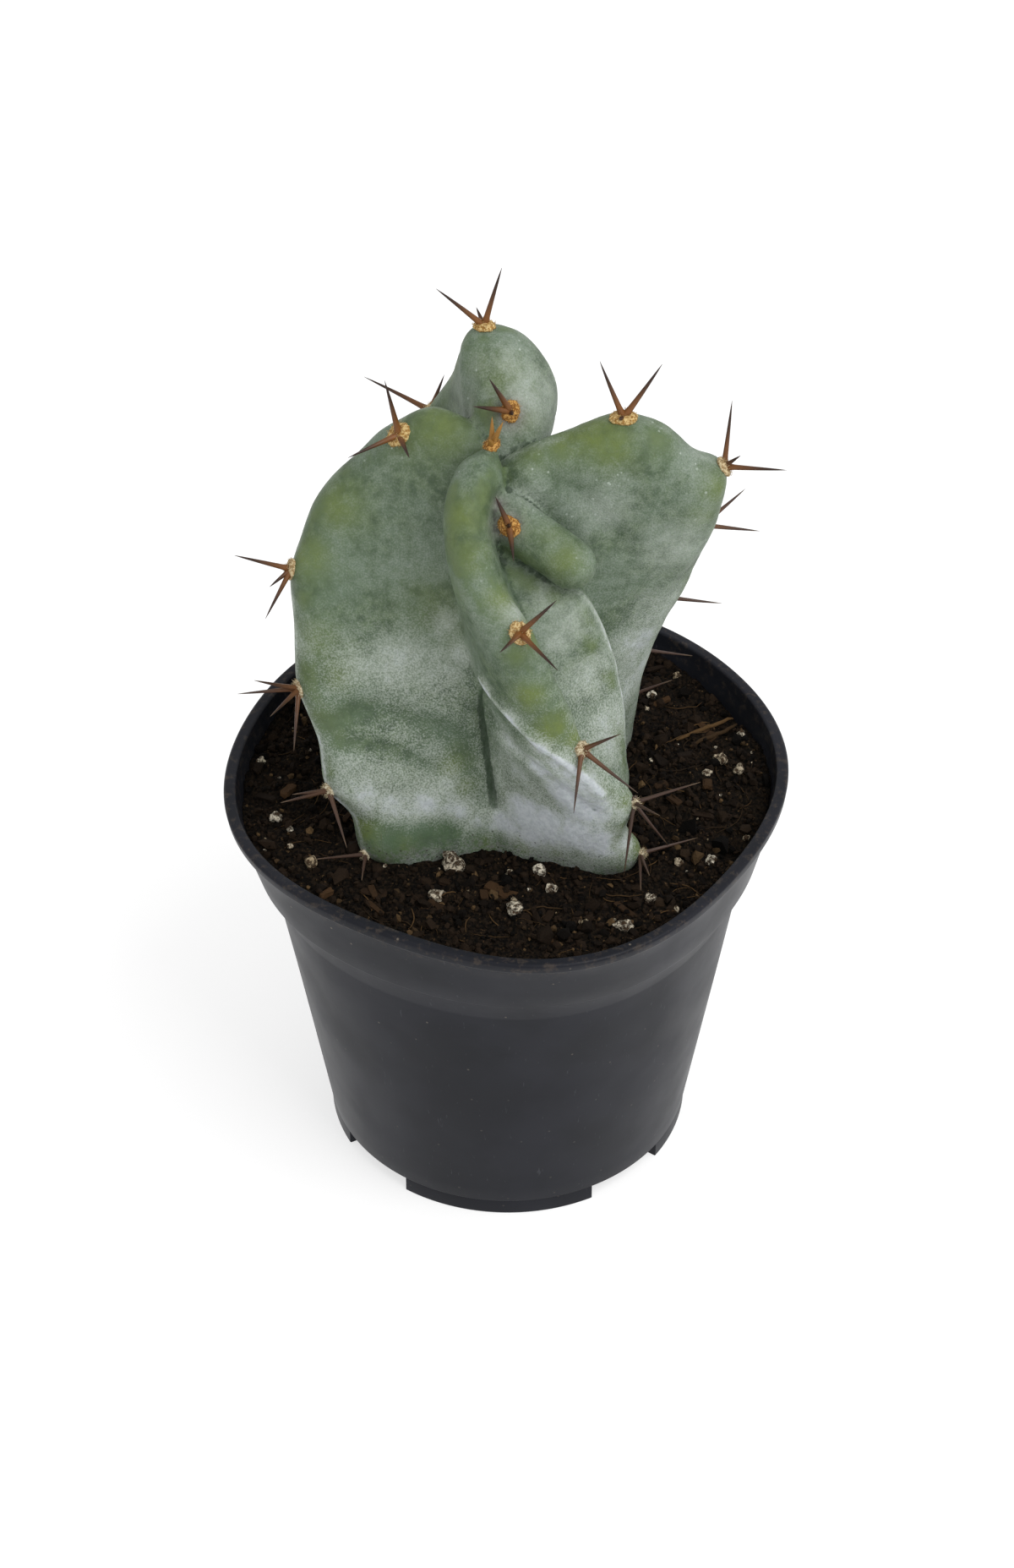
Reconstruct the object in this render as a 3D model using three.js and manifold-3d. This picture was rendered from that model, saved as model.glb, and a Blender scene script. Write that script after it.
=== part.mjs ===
// A young columnar cactus in a round nursery pot: pot, soil and the stem with its spines.
// Millimetres, +Z up. The origin is the centre of the pot's foot, on the surface it stands on.
import * as THREE from "three";
import { mergeVertices } from "three/addons/utils/BufferGeometryUtils.js";
import Module from "manifold-3d";

const wasm = await Module();
wasm.setup();

// Pot: a thin-walled cone with a collar and a flat lip, standing on a broken foot ring.
const POT_HEIGHT = 83.2;
const LIP_RADIUS = 52.2;
const LIP_WIDTH = 2.3;
const LIP_DEPTH = 2.5;
const COLLAR_TOP_RADIUS = 50.8;
const COLLAR_BASE_RADIUS = 47.5;
const COLLAR_BASE_HEIGHT = 67.6;
const BODY_TOP_RADIUS = 46;
const WAIST_RADIUS = 44.3;
const WAIST_HEIGHT = 61.5;
const WALL = 1.2;
const RING_RADIUS = 35.3;
const RING_HEIGHT = 3.5;
const FOOT_RADIUS = 35.1;
const FOOT_WIDTH = 2;
const FLOOR_TOP = 5.2;
const FLOOR_RISE = 1.6;
const POT_SEGMENTS = 64;
const FOOT_COUNT = 4;
const FOOT_SPAN = THREE.MathUtils.degToRad(62);
const FOOT_START = THREE.MathUtils.degToRad(-93.4);
// The soft plastic rim is pressed out of round: waves per turn, height and direction of each.
const RIM_FADE = 4;
const RIM_WAVES = [
  { waves: 2, height: 0.15, peak: 78 },
  { waves: 3, height: 0.73, peak: 51 },
  { waves: 4, height: 0.86, peak: 15.6 },
  { waves: 5, height: 0.55, peak: -6.2 },
];

// Soil: a lumpy fill a little below the rim, with loose grains, bark and straw on it.
const SOIL_LEVEL = 78.6;
const SOIL_MOUND = 0.7;
const SOIL_BOTTOM = 7.2;
const SOIL_RINGS = 11;
const SOIL_SEGMENTS = 52;
const CLEARANCE = 0.4;
const LUMP_COUNT = 9;
const LUMP_HEIGHT = 0.3;
const LUMP_LENGTH = [7, 20];
const HOLLOW = { x: 44, y: 26, radius: 11, depth: 2.2 };

// White grains of volcanic glass: x, y and radius.
const GRAINS = [
  [-43, -9, 1.4],
  [-10.1, -22.8, 2.2],
  [-12.7, -30.4, 2],
  [5.7, -25.4, 1.4],
  [1.2, -34.9, 1.5],
  [7.8, -29.3, 1.3],
  [13.7, -38.4, 1.2],
  [20.6, -39.4, 1.5],
  [25.7, -31.5, 1.2],
  [31.1, -21.6, 1],
  [37, -21.6, 1.2],
  [30.1, -33.8, 1],
  [-46.6, 6.7, 1],
  [39.9, 7, 1.6],
  [43.2, 3.9, 1.2],
  [37.3, 3.3, 1.2],
  [44.4, 15.8, 1],
  [27.6, 26.3, 1],
  [-35.5, 21, 1.4],
  [-14, 39.5, 1.6],
  [11, 42, 1.2],
  [-36, -22, 1.3],
];
// Flat chips of bark and wood: middle, size and turn in degrees.
const CHIPS = [
  { at: [-1.7, -29.3], size: [5.6, 2.6, 1.2], turn: -36 },
  { at: [28.5, 6.5], size: [3.4, 1.5, 1], turn: -54 },
  { at: [-30, 31], size: [6, 2.8, 1.3], turn: 25 },
  { at: [-41, -2], size: [4.4, 2, 1], turn: 70 },
  { at: [22, 37], size: [5, 2.2, 1.2], turn: -20 },
];
// Straws lying on the soil, from one end to the other.
const STRAWS = [
  [31.9, 12.9, 43, 20.7],
  [34.4, 11.2, 43.6, 18.3],
  [-22, 37, -33, 27],
];
const STRAW_RADIUS = 0.5;

// The hole that the stem stands in
const HOLE_SEGMENTS = 60;
const HOLE_BOTTOM = 67.4;
const HOLE_GAP = 0.4;
const HOLE_LEVELS = [68, 70, 72, 74, 76, 78, 79, 80, 81];
const HOLE_SAMPLES = 5;

// Stem: five ribs round a sunken growing point, and a square base in the soil.
const APEX = [-1.5, 0, 148.5];
const STEM_BOTTOM = 70;
const STEM_RINGS = 34;
const FLANK_STEPS = 6;
const CREST_ROUNDNESS = 0.85;
const FOOT_FLARE = 0.9;
const TIP_ROUNDING = 5;
const CORE_OVERLAP = 0.4;
const FIRST_SHARE = 0.004;
const RING_CROWDING = 1.25;
const SIDE_SPAN = 0.08;
const HEART_RADIUS = 3;

// The bud of a sixth rib, a short sausage that lies on the youngest rib.
const POD = { start: [-0.2, -6.3, 145.6], end: [10.9, -11.8, 139.9], radius: 4.5 };
const POD_AREOLE = { along: 1.4, turn: 21 };

// Spines and the woolly cushions that they grow from
const SPINE_RADIUS = 0.55;
const SPINE_ROOT = 1.6;
const CUSHION_RADIUS = 1.8;
const CUSHION_HEIGHT = 1;
const HIDDEN_SPINES = 3;

// Vertices closer than this are one.
const WELD = 1e-3;

const radians = THREE.MathUtils.degToRad;
const vector = (p) => new THREE.Vector3(...p);

// The turn that brings the up axis of a fresh rod, cone or lathed body to a direction.
const turnFromUp = (direction) =>
  new THREE.Quaternion().setFromUnitVectors(new THREE.Vector3(0, 1, 0), direction.clone().normalize());

// A repeatable draw between 0 and 1.
function seeded(seed) {
  let state = seed;
  return () => {
    state = (state * 1664525 + 1013904223) % 4294967296;
    return state / 4294967296;
  };
}

// Solids and meshes

function solidOf(geometry) {
  const bare = geometry.clone();
  bare.deleteAttribute("normal");
  bare.deleteAttribute("uv");
  const merged = mergeVertices(bare, WELD);
  return new wasm.Manifold(
    new wasm.Mesh({
      numProp: 3,
      vertProperties: merged.attributes.position.array,
      triVerts: new Uint32Array(merged.index.array),
    }),
  );
}

function geometryOf(solid) {
  const mesh = solid.getMesh();
  const geometry = new THREE.BufferGeometry();
  geometry.setAttribute("position", new THREE.BufferAttribute(mesh.vertProperties, 3));
  geometry.setIndex(new THREE.BufferAttribute(mesh.triVerts, 1));
  geometry.computeVertexNormals();
  return geometry;
}

// The largest skin of a joined body. Hollows sealed inside it are filled and loose scraps dropped.
function outerBody(solid) {
  const bodies = solidOf(geometryOf(solid)).decompose();
  return bodies.reduce((best, body) => (body.volume() > best.volume() ? body : best));
}

// A closed body through rings of points with equal counts, each ring counterclockwise seen from
// the last ring's side. Each end closes on one point.
function bodyThroughRings(rings, firstPoint, lastPoint) {
  const count = rings[0].length;
  const points = [firstPoint, ...rings.flat(), lastPoint];
  const index = [];
  const at = (ring, i) => 1 + ring * count + (i % count);
  for (let i = 0; i < count; i += 1) {
    index.push(0, at(0, i + 1), at(0, i));
    index.push(points.length - 1, at(rings.length - 1, i), at(rings.length - 1, i + 1));
  }
  for (let ring = 0; ring + 1 < rings.length; ring += 1) {
    for (let i = 0; i < count; i += 1) {
      index.push(at(ring, i), at(ring, i + 1), at(ring + 1, i + 1));
      index.push(at(ring, i), at(ring + 1, i + 1), at(ring + 1, i));
    }
  }
  const geometry = new THREE.BufferGeometry().setFromPoints(points);
  geometry.setIndex(index);
  return geometry;
}

// Pot

// How far the wall stands out of round at an azimuth, fading from the rim to the foot.
function outOfRound(azimuth, z) {
  const share = THREE.MathUtils.clamp(z / POT_HEIGHT, 0, 1);
  let sum = 0;
  for (const wave of RIM_WAVES) {
    sum += wave.height * Math.cos(wave.waves * (azimuth - radians(wave.peak)));
  }
  return sum * share ** RIM_FADE;
}

function potPoint(radius, z, azimuth) {
  const r = radius + (radius > 0 ? outOfRound(azimuth, z) : 0);
  return new THREE.Vector3(r * Math.cos(azimuth), r * Math.sin(azimuth), z);
}

// Outer radius and height along the tapering wall, below the lip.
const WALL_LINE = [
  [RING_RADIUS, RING_HEIGHT],
  [WAIST_RADIUS, WAIST_HEIGHT],
  [BODY_TOP_RADIUS, COLLAR_BASE_HEIGHT - 0.3],
  [COLLAR_BASE_RADIUS, COLLAR_BASE_HEIGHT],
  [COLLAR_TOP_RADIUS, POT_HEIGHT - LIP_DEPTH],
];

function innerRadius(z) {
  const above = Math.max(1, WALL_LINE.findIndex((point) => point[1] > z));
  const [[lowRadius, lowZ], [highRadius, highZ]] = WALL_LINE.slice(above - 1, above + 1);
  return THREE.MathUtils.lerp(lowRadius, highRadius, (z - lowZ) / (highZ - lowZ)) - WALL;
}

function potOutline() {
  const collarTop = POT_HEIGHT - LIP_DEPTH;
  const inner = WALL_LINE.slice(1).map(([radius, z]) => [radius - WALL, z]);
  return [
    [RING_RADIUS - 0.9, RING_HEIGHT - 0.3],
    ...WALL_LINE,
    [LIP_RADIUS - 0.2, collarTop + 0.3],
    [LIP_RADIUS, POT_HEIGHT - 0.4],
    [LIP_RADIUS - 0.4, POT_HEIGHT],
    [LIP_RADIUS - LIP_WIDTH + 0.3, POT_HEIGHT],
    [LIP_RADIUS - LIP_WIDTH, POT_HEIGHT - 0.3],
    ...inner.reverse(),
    [innerRadius(FLOOR_TOP), FLOOR_TOP],
  ];
}

function footSegment(number) {
  const start = FOOT_START - FOOT_SPAN / 2 + (number * 2 * Math.PI) / FOOT_COUNT;
  const shape = new THREE.Shape();
  shape.absarc(0, 0, FOOT_RADIUS, start, start + FOOT_SPAN, false);
  shape.absarc(0, 0, FOOT_RADIUS - FOOT_WIDTH, start + FOOT_SPAN, start, true);
  shape.closePath();
  return new THREE.ExtrudeGeometry(shape, { depth: FLOOR_TOP - 0.4, bevelEnabled: false, curveSegments: 12 });
}

function potSolid() {
  const rings = potOutline().map(([radius, z]) => {
    const ring = [];
    for (let i = 0; i < POT_SEGMENTS; i += 1) {
      ring.push(potPoint(radius, z, (i * 2 * Math.PI) / POT_SEGMENTS));
    }
    return ring;
  });
  const underside = new THREE.Vector3(0, 0, RING_HEIGHT - 0.3 + FLOOR_RISE);
  const floor = new THREE.Vector3(0, 0, FLOOR_TOP + FLOOR_RISE);
  let pot = solidOf(bodyThroughRings(rings, underside, floor));
  for (let number = 0; number < FOOT_COUNT; number += 1) {
    pot = pot.add(solidOf(footSegment(number)));
  }
  return pot;
}

// Stem

// Each rib's crest from its tip beside the growing point to the base in the soil. before and after
// are half the rib's thickness on its clockwise and counterclockwise side, from the top down.
const RIBS = {
  right: {
    crest: [
      [-2.3, 0, 151.5],
      [0.2, 0.5, 153.8],
      [5, 1, 155.8],
      [12, 2, 158],
      [20, 3, 160.4],
      [27, 3, 158.3],
      [33, 3, 152.8],
      [37.8, 3, 150],
      [37.2, 5, 141.5],
      [34.8, 8, 133.5],
      [32, 10, 124],
      [28, 13, 113.5],
      [24.2, 17, 98],
      [22.8, 20, 84],
      [22, 20, 78.5],
      [19, 17, 73.5],
      [16, 14, 70],
    ],
    before: [4.5, 6, 6, 5.5, 5.5, 6],
    after: [4.5, 6, 6, 5.5, 5.5, 6],
  },
  back: {
    crest: [
      [-0.5, 2, 152],
      [-0.3, 3.2, 156],
      [0.4, 5.5, 160],
      [1, 9.5, 164.5],
      [-0.5, 14, 168],
      [-4.2, 18.5, 169],
      [-4.6, 24, 165],
      [-8, 28.3, 154.5],
      [-14.2, 30.3, 142.8],
      [-17.5, 30.5, 132],
      [-20, 29.5, 117],
      [-22, 27.5, 102],
      [-22, 24.5, 88],
      [-21, 22, 79],
      [-17, 18, 73.5],
      [-14, 15, 70],
    ],
    pivot: { at: [-2, 12, 148], until: 0.45 },
    before: [8, 12.2, 10.8, 7, 6, 6],
    after: [8, 5.5, 3.5, 4.5, 6, 6],
  },
  left: {
    crest: [
      [-2, 4, 153.5],
      [-6.5, 6.5, 157],
      [-13.1, 9, 158.3],
      [-20.8, 10.5, 153.8],
      [-27, 10, 147.8],
      [-33.6, 7.5, 141.2],
      [-36.8, 3.5, 134.5],
      [-38.5, -1, 130.5],
      [-38, -6, 121.5],
      [-37.5, -10, 110.5],
      [-34, -13.5, 100.5],
      [-32.5, -16.5, 92],
      [-28, -18, 87],
      [-26, -20.5, 80],
      [-22.5, -18, 74],
      [-19, -15, 70],
    ],
    before: [3, 5.5, 6, 5.5, 5.5, 6],
    after: [3, 5.5, 6, 5.5, 5.5, 6],
  },
  front: {
    crest: [
      [-2.8, -1, 157.5],
      [-6, -6, 157],
      [-7.5, -11, 153.5],
      [-7.2, -16, 148],
      [-5, -20, 142],
      [2, -25, 135],
      [6.5, -26, 126.5],
      [10.5, -26.5, 117],
      [13, -26.5, 110],
      [18, -25.5, 103.5],
      [22.5, -24, 95.5],
      [21.2, -23.5, 88.5],
      [24, -22, 81.5],
      [21, -18, 74],
      [17, -15, 70],
    ],
    before: [4.5, 5.2, 8, 9, 7, 6],
    after: [4, 4, 2.5, 1.5, 2, 4],
  },
  young: {
    crest: [
      [1, -7.5, 141.5],
      [4.5, -9.5, 138.5],
      [9, -11.2, 135.8],
      [13.5, -12.3, 133],
      [16.4, -12.8, 127.5],
      [19, -12.5, 119],
      [20.8, -10.8, 107],
      [21.5, -9, 95],
      [22, -6, 83],
      [20, -4, 74],
      [17, -4, 70],
    ],
    from: 0.14,
    before: [3, 2.5, 1.5, 1.2, 1.2, 2],
    after: [3, 3, 3, 3.5, 4, 4],
  },
};

// The valleys between the ribs, counterclockwise seen from above, each from the growing point down.
const VALLEYS = [
  [
    [1.5, 1.5, 147],
    [5, 8, 142],
    [8, 12, 132],
    [9, 14, 118],
    [7, 17, 100],
    [3, 19, 84],
    [2, 17, 70],
  ],
  [
    [-2.5, 2, 147],
    [-8, 9, 142],
    [-13, 12, 131],
    [-16, 12, 116],
    [-19, 8, 99],
    [-21, 3, 84],
    [-19, 2, 70],
  ],
  [
    [-5, -2, 146.5],
    [-9, -5, 140],
    [-9, -8, 131.5],
    [-7.5, -11, 122],
    [-5, -13.5, 108.5],
    [-3.5, -15.5, 98.5],
    [-2.5, -17, 90],
    [-2, -18.5, 80.5],
    [-2, -17, 70],
  ],
  [
    [-2.5, -3, 146],
    [-3, -7, 141.5],
    [0, -13, 137],
    [3.5, -18, 131],
    [8, -21.5, 118],
    [11.5, -22, 110],
    [16, -22, 101],
    [20, -21, 92],
    [21, -17, 83],
    [18, -11, 70],
  ],
  [
    [0.5, -1.5, 147],
    [6, -4, 141],
    [12, -5, 133],
    [15, -4.5, 121],
    [17, -2, 106],
    [19.5, 2, 92],
    [20.5, 5, 80],
    [18, 4, 70],
  ],
];
const RIB_ORDER = ["right", "back", "left", "front", "young"];

const curveThrough = (points) =>
  new THREE.CatmullRomCurve3(points.map(vector), false, "centripetal");

function valueAlong(values, share) {
  const place = share * (values.length - 1);
  const before = Math.min(Math.floor(place), values.length - 2);
  return THREE.MathUtils.lerp(values[before], values[before + 1], place - before);
}

// One flank of a rib from its foot (height 0) to its crest (height 1), as [height, foot share, blade
// share] evenly spaced along the skin. The crest is rounded.
function flank(reach, footWidth, thickness) {
  const blunt = Math.max(2, (2 * CREST_ROUNDNESS * reach) / (thickness + 0.1));
  const flare = THREE.MathUtils.clamp((FOOT_FLARE * reach) / (footWidth + 0.1), 1.3, 8);
  const fine = [];
  const steps = 80;
  for (let i = 0; i <= steps; i += 1) {
    const h = Math.sin((i / steps) * (Math.PI / 2));
    const foot = (1 - h) ** flare;
    fine.push([h, foot, (1 - foot) * Math.sqrt(Math.max(0, 1 - h ** blunt))]);
  }
  const lengths = [0];
  for (let i = 1; i <= steps; i += 1) {
    const rise = (fine[i][0] - fine[i - 1][0]) * reach;
    const inward = (fine[i][1] - fine[i - 1][1]) * footWidth + (fine[i][2] - fine[i - 1][2]) * thickness;
    lengths.push(lengths[i - 1] + Math.hypot(rise, inward));
  }
  const even = [];
  let near = 0;
  for (let k = 0; k <= FLANK_STEPS; k += 1) {
    const wanted = (lengths[steps] * k) / FLANK_STEPS;
    while (near < steps - 1 && lengths[near + 1] < wanted) near += 1;
    const part = (wanted - lengths[near]) / (lengths[near + 1] - lengths[near]);
    even.push(fine[near].map((value, i) => THREE.MathUtils.lerp(value, fine[near + 1][i], part)));
  }
  return even;
}

const crests = Object.fromEntries(RIB_ORDER.map((name) => [name, curveThrough(RIBS[name].crest)]));
const valleys = VALLEYS.map((points) => curveThrough([APEX, ...points]));
const axis = curveThrough([APEX, [0, 0, 120], [0, 0, 90], [0, 0, STEM_BOTTOM]]);

// A rib at a share of its length: its crest, the middle of its foot, the way from foot to crest, its
// side, half its foot from the clockwise to the counterclockwise valley, and the axis beside it.
function ribFrame(name, share) {
  const number = RIB_ORDER.indexOf(name);
  const { from = 0, pivot } = RIBS[name];
  const down = THREE.MathUtils.lerp(from, 1, share);
  const before = valleys[(number + RIB_ORDER.length - 1) % RIB_ORDER.length].getPointAt(down);
  const after = valleys[number].getPointAt(down);
  const across = after.clone().sub(before);
  if (pivot) {
    const turned = 1 - THREE.MathUtils.smoothstep(share, 0, pivot.until);
    before.lerp(vector(pivot.at), turned);
    after.lerp(vector(pivot.at), turned);
  }
  const crest = crests[name].getPointAt(share);
  const foot = before.clone().lerp(after, 0.5);
  const reach = crest.clone().sub(foot);
  const ahead = crests[name]
    .getPointAt(Math.min(share + SIDE_SPAN, 1))
    .sub(crests[name].getPointAt(Math.max(share - SIDE_SPAN, 0)));
  const side = ahead.cross(reach).normalize();
  if (side.dot(across) < 0) side.negate();
  return {
    crest,
    foot,
    reach,
    side,
    halfFoot: after.clone().sub(before).multiplyScalar(0.5),
    core: axis.getPointAt(down),
  };
}

// The cross-section of a rib at a share of its length: both flanks and a corner inside the stem.
function ribSection(name, share) {
  const { foot, reach, side, halfFoot, core } = ribFrame(name, share);
  const opening = Math.sqrt(Math.min(1, (share * crests[name].getLength()) / TIP_ROUNDING + 0.08));
  const place = (sign, thickness) => ([h, footShare, bladeShare]) =>
    foot
      .clone()
      .addScaledVector(reach, h)
      .addScaledVector(halfFoot, sign * footShare)
      .addScaledVector(side, sign * bladeShare * thickness);
  const half = (sign, values) => {
    const thickness = valueAlong(values, share) * opening;
    return flank(reach.length(), halfFoot.length(), thickness).map(place(sign, thickness));
  };
  const leading = half(-1, RIBS[name].before);
  const trailing = half(1, RIBS[name].after);
  const corner = core.clone().addScaledVector(foot.clone().sub(core), -CORE_OVERLAP);
  return [...leading, ...trailing.slice(0, -1).reverse(), corner].reverse();
}

function ribSolid(name) {
  const rings = [];
  for (let ring = 0; ring <= STEM_RINGS; ring += 1) {
    const share = THREE.MathUtils.lerp(FIRST_SHARE, 1, (ring / STEM_RINGS) ** RING_CROWDING);
    rings.push(ribSection(name, share));
  }
  const middle = (ring) =>
    ring.reduce((sum, p) => sum.add(p), new THREE.Vector3()).multiplyScalar(1 / ring.length);
  const bottom = middle(rings[STEM_RINGS]);
  return solidOf(bodyThroughRings(rings, middle(rings[0]), bottom));
}

function growingPoint() {
  const heart = new THREE.IcosahedronGeometry(HEART_RADIUS, 1);
  heart.translate(APEX[0], APEX[1], APEX[2] - HEART_RADIUS / 2);
  return solidOf(heart);
}

function podSolid() {
  const [start, end] = [vector(POD.start), vector(POD.end)];
  const half = start.distanceTo(end) / 2;
  const profile = [];
  for (let i = 0; i <= 9; i += 1) {
    const angle = radians(20 * i - 90);
    const radius = i % 9 === 0 ? 0 : POD.radius * Math.cos(angle);
    profile.push(new THREE.Vector2(radius, POD.radius * Math.sin(angle) + (i < 5 ? -half : half)));
  }
  const pod = new THREE.LatheGeometry(profile, 12);
  pod.applyQuaternion(turnFromUp(end.clone().sub(start)));
  pod.translate(...start.lerp(end, 0.5).toArray());
  return solidOf(pod);
}

// Areoles

// Each areole sits on a crest point of its rib, counted from the tip, or beside it where it is moved.
// A spine is [turn, lift, length]: its turn away from the tip of the rib, seen from outside, and its
// lift off the skin, in degrees. Those without a list get theirs by a seeded rule.
const AREOLES = [
  { rib: "right", at: 4, spines: [[18, 67, 12], [168, 54, 12]] },
  { rib: "right", at: 7, spines: [[28, 33, 12], [-112, 62, 12], [-35, 55, 5]] },
  { rib: "right", at: 9, spines: [[74, 67, 12], [-123, 74, 12]] },
  { rib: "right", at: 11, spines: [[-92, 59, 12], [60, 40, 9]] },
  { rib: "right", at: 12, spines: [[-125, 60, 12], [50, 45, 9]] },
  { rib: "right", at: 13, spines: [[-40, 50, 9], [60, 50, 9]] },
  { rib: "back", at: 2, spines: [[135, 40, 7.5], [90, 35, 7.5], [-150, 50, 5]] },
  { rib: "back", at: 5, spines: [[92, 47, 12], [-41, 70, 12]] },
  { rib: "back", at: 8, spines: [[115, 71, 14], [-36, 23, 7]] },
  { rib: "back", at: 10 },
  { rib: "back", at: 12 },
  { rib: "left", at: 3, moved: [1.7, -4.1, 0.6], spines: [[-46, 49, 12], [161, 43, 10.5], [75, 20, 7]] },
  { rib: "left", at: 7, spines: [[71, 74, 12], [147, 46, 6], [149, 26, 12]] },
  { rib: "left", at: 9, spines: [[45, 50, 12], [25, 75, 12], [95, 45, 12], [145, 25, 12]] },
  { rib: "left", at: 11, spines: [[35, 55, 9], [45, 60, 12], [140, 20, 12]] },
  { rib: "left", at: 13, spines: [[0, 50, 12], [80, 45, 8]] },
  { rib: "front", at: 0, spines: [[75, 65, 5], [150, 50, 4]] },
  { rib: "front", at: 5, spines: [[67, 53, 11.5], [-75, 51, 11.5], [184, 52, 11.5]] },
  { rib: "front", at: 8, spines: [[55, 62, 9.5], [-171, 48, 12.5], [-108, 19, 12]] },
  { rib: "front", at: 10, spines: [[77, 61, 12.5], [-58, 50, 8.5], [-146, -4, 13.5], [-186, 18, 13.5]] },
  { rib: "front", at: 12, spines: [[112, 47, 12], [-70, 15, 9.5], [-60, 26, 7.5]] },
  { pod: true, spines: [[40, 35, 5], [-145, 45, 6]] },
];

// The place of an areole, with the ways to the rib's tip, out of the skin and across.
function areoleFrame({ rib, at, pod, moved }) {
  if (pod) return podAreoleFrame();
  const crest = crests[rib];
  const place = at / (RIBS[rib].crest.length - 1);
  const share = valueAlong(crest.getLengths(), place) / crest.getLength();
  const up = crest.getTangentAt(share).negate();
  const origin = crest.getPointAt(share);
  const out = ribFrame(rib, share).reach.normalize();
  if (moved) {
    origin.add(vector(moved));
    out.add(vector(moved).normalize());
  }
  out.addScaledVector(up, -out.dot(up)).normalize();
  return { origin, up, out, across: new THREE.Vector3().crossVectors(up, out) };
}

// The bud's areole faces forwards and up from its axis, near the bud's start.
function podAreoleFrame() {
  const [start, end] = [vector(POD.start), vector(POD.end)];
  const up = start.clone().sub(end).normalize();
  const out = new THREE.Vector3(0, -1, 0).addScaledVector(up, up.y).normalize();
  out.applyAxisAngle(up, radians(POD_AREOLE.turn));
  const origin = start.addScaledVector(up, -POD_AREOLE.along).addScaledVector(out, POD.radius);
  return { origin, up, out, across: new THREE.Vector3().crossVectors(up, out) };
}

function spineSolid({ origin, up, out, across }, [turn, lift, length]) {
  const flat = Math.cos(radians(lift));
  const direction = new THREE.Vector3()
    .addScaledVector(up, flat * Math.cos(radians(turn)))
    .addScaledVector(across, flat * Math.sin(radians(turn)))
    .addScaledVector(out, Math.sin(radians(lift)));
  const spine = new THREE.ConeGeometry(SPINE_RADIUS, length + SPINE_ROOT, 3);
  spine.translate(0, (length - SPINE_ROOT) / 2, 0);
  spine.applyQuaternion(turnFromUp(direction));
  spine.translate(...origin.toArray());
  return solidOf(spine);
}

function cushionSolid({ origin, up, out, across }) {
  const cushion = new THREE.IcosahedronGeometry(1, 0);
  cushion.scale(CUSHION_RADIUS, CUSHION_RADIUS, CUSHION_HEIGHT);
  cushion.applyMatrix4(new THREE.Matrix4().makeBasis(across, up, out).setPosition(origin));
  return solidOf(cushion);
}

function areoleSolids() {
  const draw = seeded(7);
  return AREOLES.flatMap((areole) => {
    const frame = areoleFrame(areole);
    const hidden = () => Array.from({ length: HIDDEN_SPINES }, (_, i) => [
      120 * i + 40 * draw(),
      35 + 30 * draw(),
      9 + 3 * draw(),
    ]);
    const spines = (areole.spines ?? hidden()).map((spine) => spineSolid(frame, spine));
    return [cushionSolid(frame), ...spines];
  });
}

const stem = outerBody(
  wasm.Manifold.union([...RIB_ORDER.map(ribSolid), growingPoint(), podSolid(), ...areoleSolids()]),
);

// Soil

const lumps = (() => {
  const draw = seeded(3);
  return Array.from({ length: LUMP_COUNT }, () => {
    const heading = 2 * Math.PI * draw();
    const turns = (2 * Math.PI) / THREE.MathUtils.lerp(...LUMP_LENGTH, draw());
    return { x: turns * Math.cos(heading), y: turns * Math.sin(heading), start: 2 * Math.PI * draw() };
  });
})();

function soilHeight(x, y) {
  const outwards = Math.hypot(x, y) / COLLAR_TOP_RADIUS;
  const rough = lumps.reduce((sum, lump) => sum + Math.sin(x * lump.x + y * lump.y + lump.start), 0);
  const hollow = Math.exp(-(((x - HOLLOW.x) ** 2 + (y - HOLLOW.y) ** 2) / HOLLOW.radius ** 2));
  return SOIL_LEVEL + SOIL_MOUND * (1 - outwards ** 2) + LUMP_HEIGHT * rough - HOLLOW.depth * hollow;
}

function fillSolid() {
  const ring = (radius, z) =>
    Array.from({ length: SOIL_SEGMENTS }, (_, i) => potPoint(radius, z, (i * 2 * Math.PI) / SOIL_SEGMENTS));
  const edge = (z) => innerRadius(z) - CLEARANCE;
  const wall = [SOIL_BOTTOM, ...WALL_LINE.slice(1, 4).map((point) => point[1])];
  const rings = wall.map((z) => ring(edge(z), z));
  for (let i = SOIL_RINGS; i > 0; i -= 1) {
    const share = i / SOIL_RINGS;
    const top = ring(share * edge(SOIL_LEVEL), SOIL_LEVEL).map((p) => {
      const z = soilHeight(p.x, p.y);
      return p.multiplyScalar(edge(z) / edge(SOIL_LEVEL)).setZ(z);
    });
    rings.push(top);
  }
  const bottom = new THREE.Vector3(0, 0, SOIL_BOTTOM);
  return solidOf(bodyThroughRings(rings, bottom, new THREE.Vector3(0, 0, soilHeight(0, 0))));
}

function grainSolids() {
  const draw = seeded(11);
  return GRAINS.map(([x, y, radius]) => {
    const grain = new THREE.IcosahedronGeometry(radius, 0);
    grain.rotateX(2 * Math.PI * draw());
    grain.rotateZ(2 * Math.PI * draw());
    grain.scale(1, 0.8 + 0.4 * draw(), 0.8);
    grain.translate(x, y, soilHeight(x, y) + 0.25 * radius);
    return solidOf(grain);
  });
}

function chipSolids() {
  return CHIPS.map(({ at: [x, y], size, turn }) => {
    const chip = new THREE.BoxGeometry(...size);
    chip.rotateX(radians(8));
    chip.rotateZ(radians(turn));
    chip.translate(x, y, soilHeight(x, y) + size[2] / 3);
    return solidOf(chip);
  });
}

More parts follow.
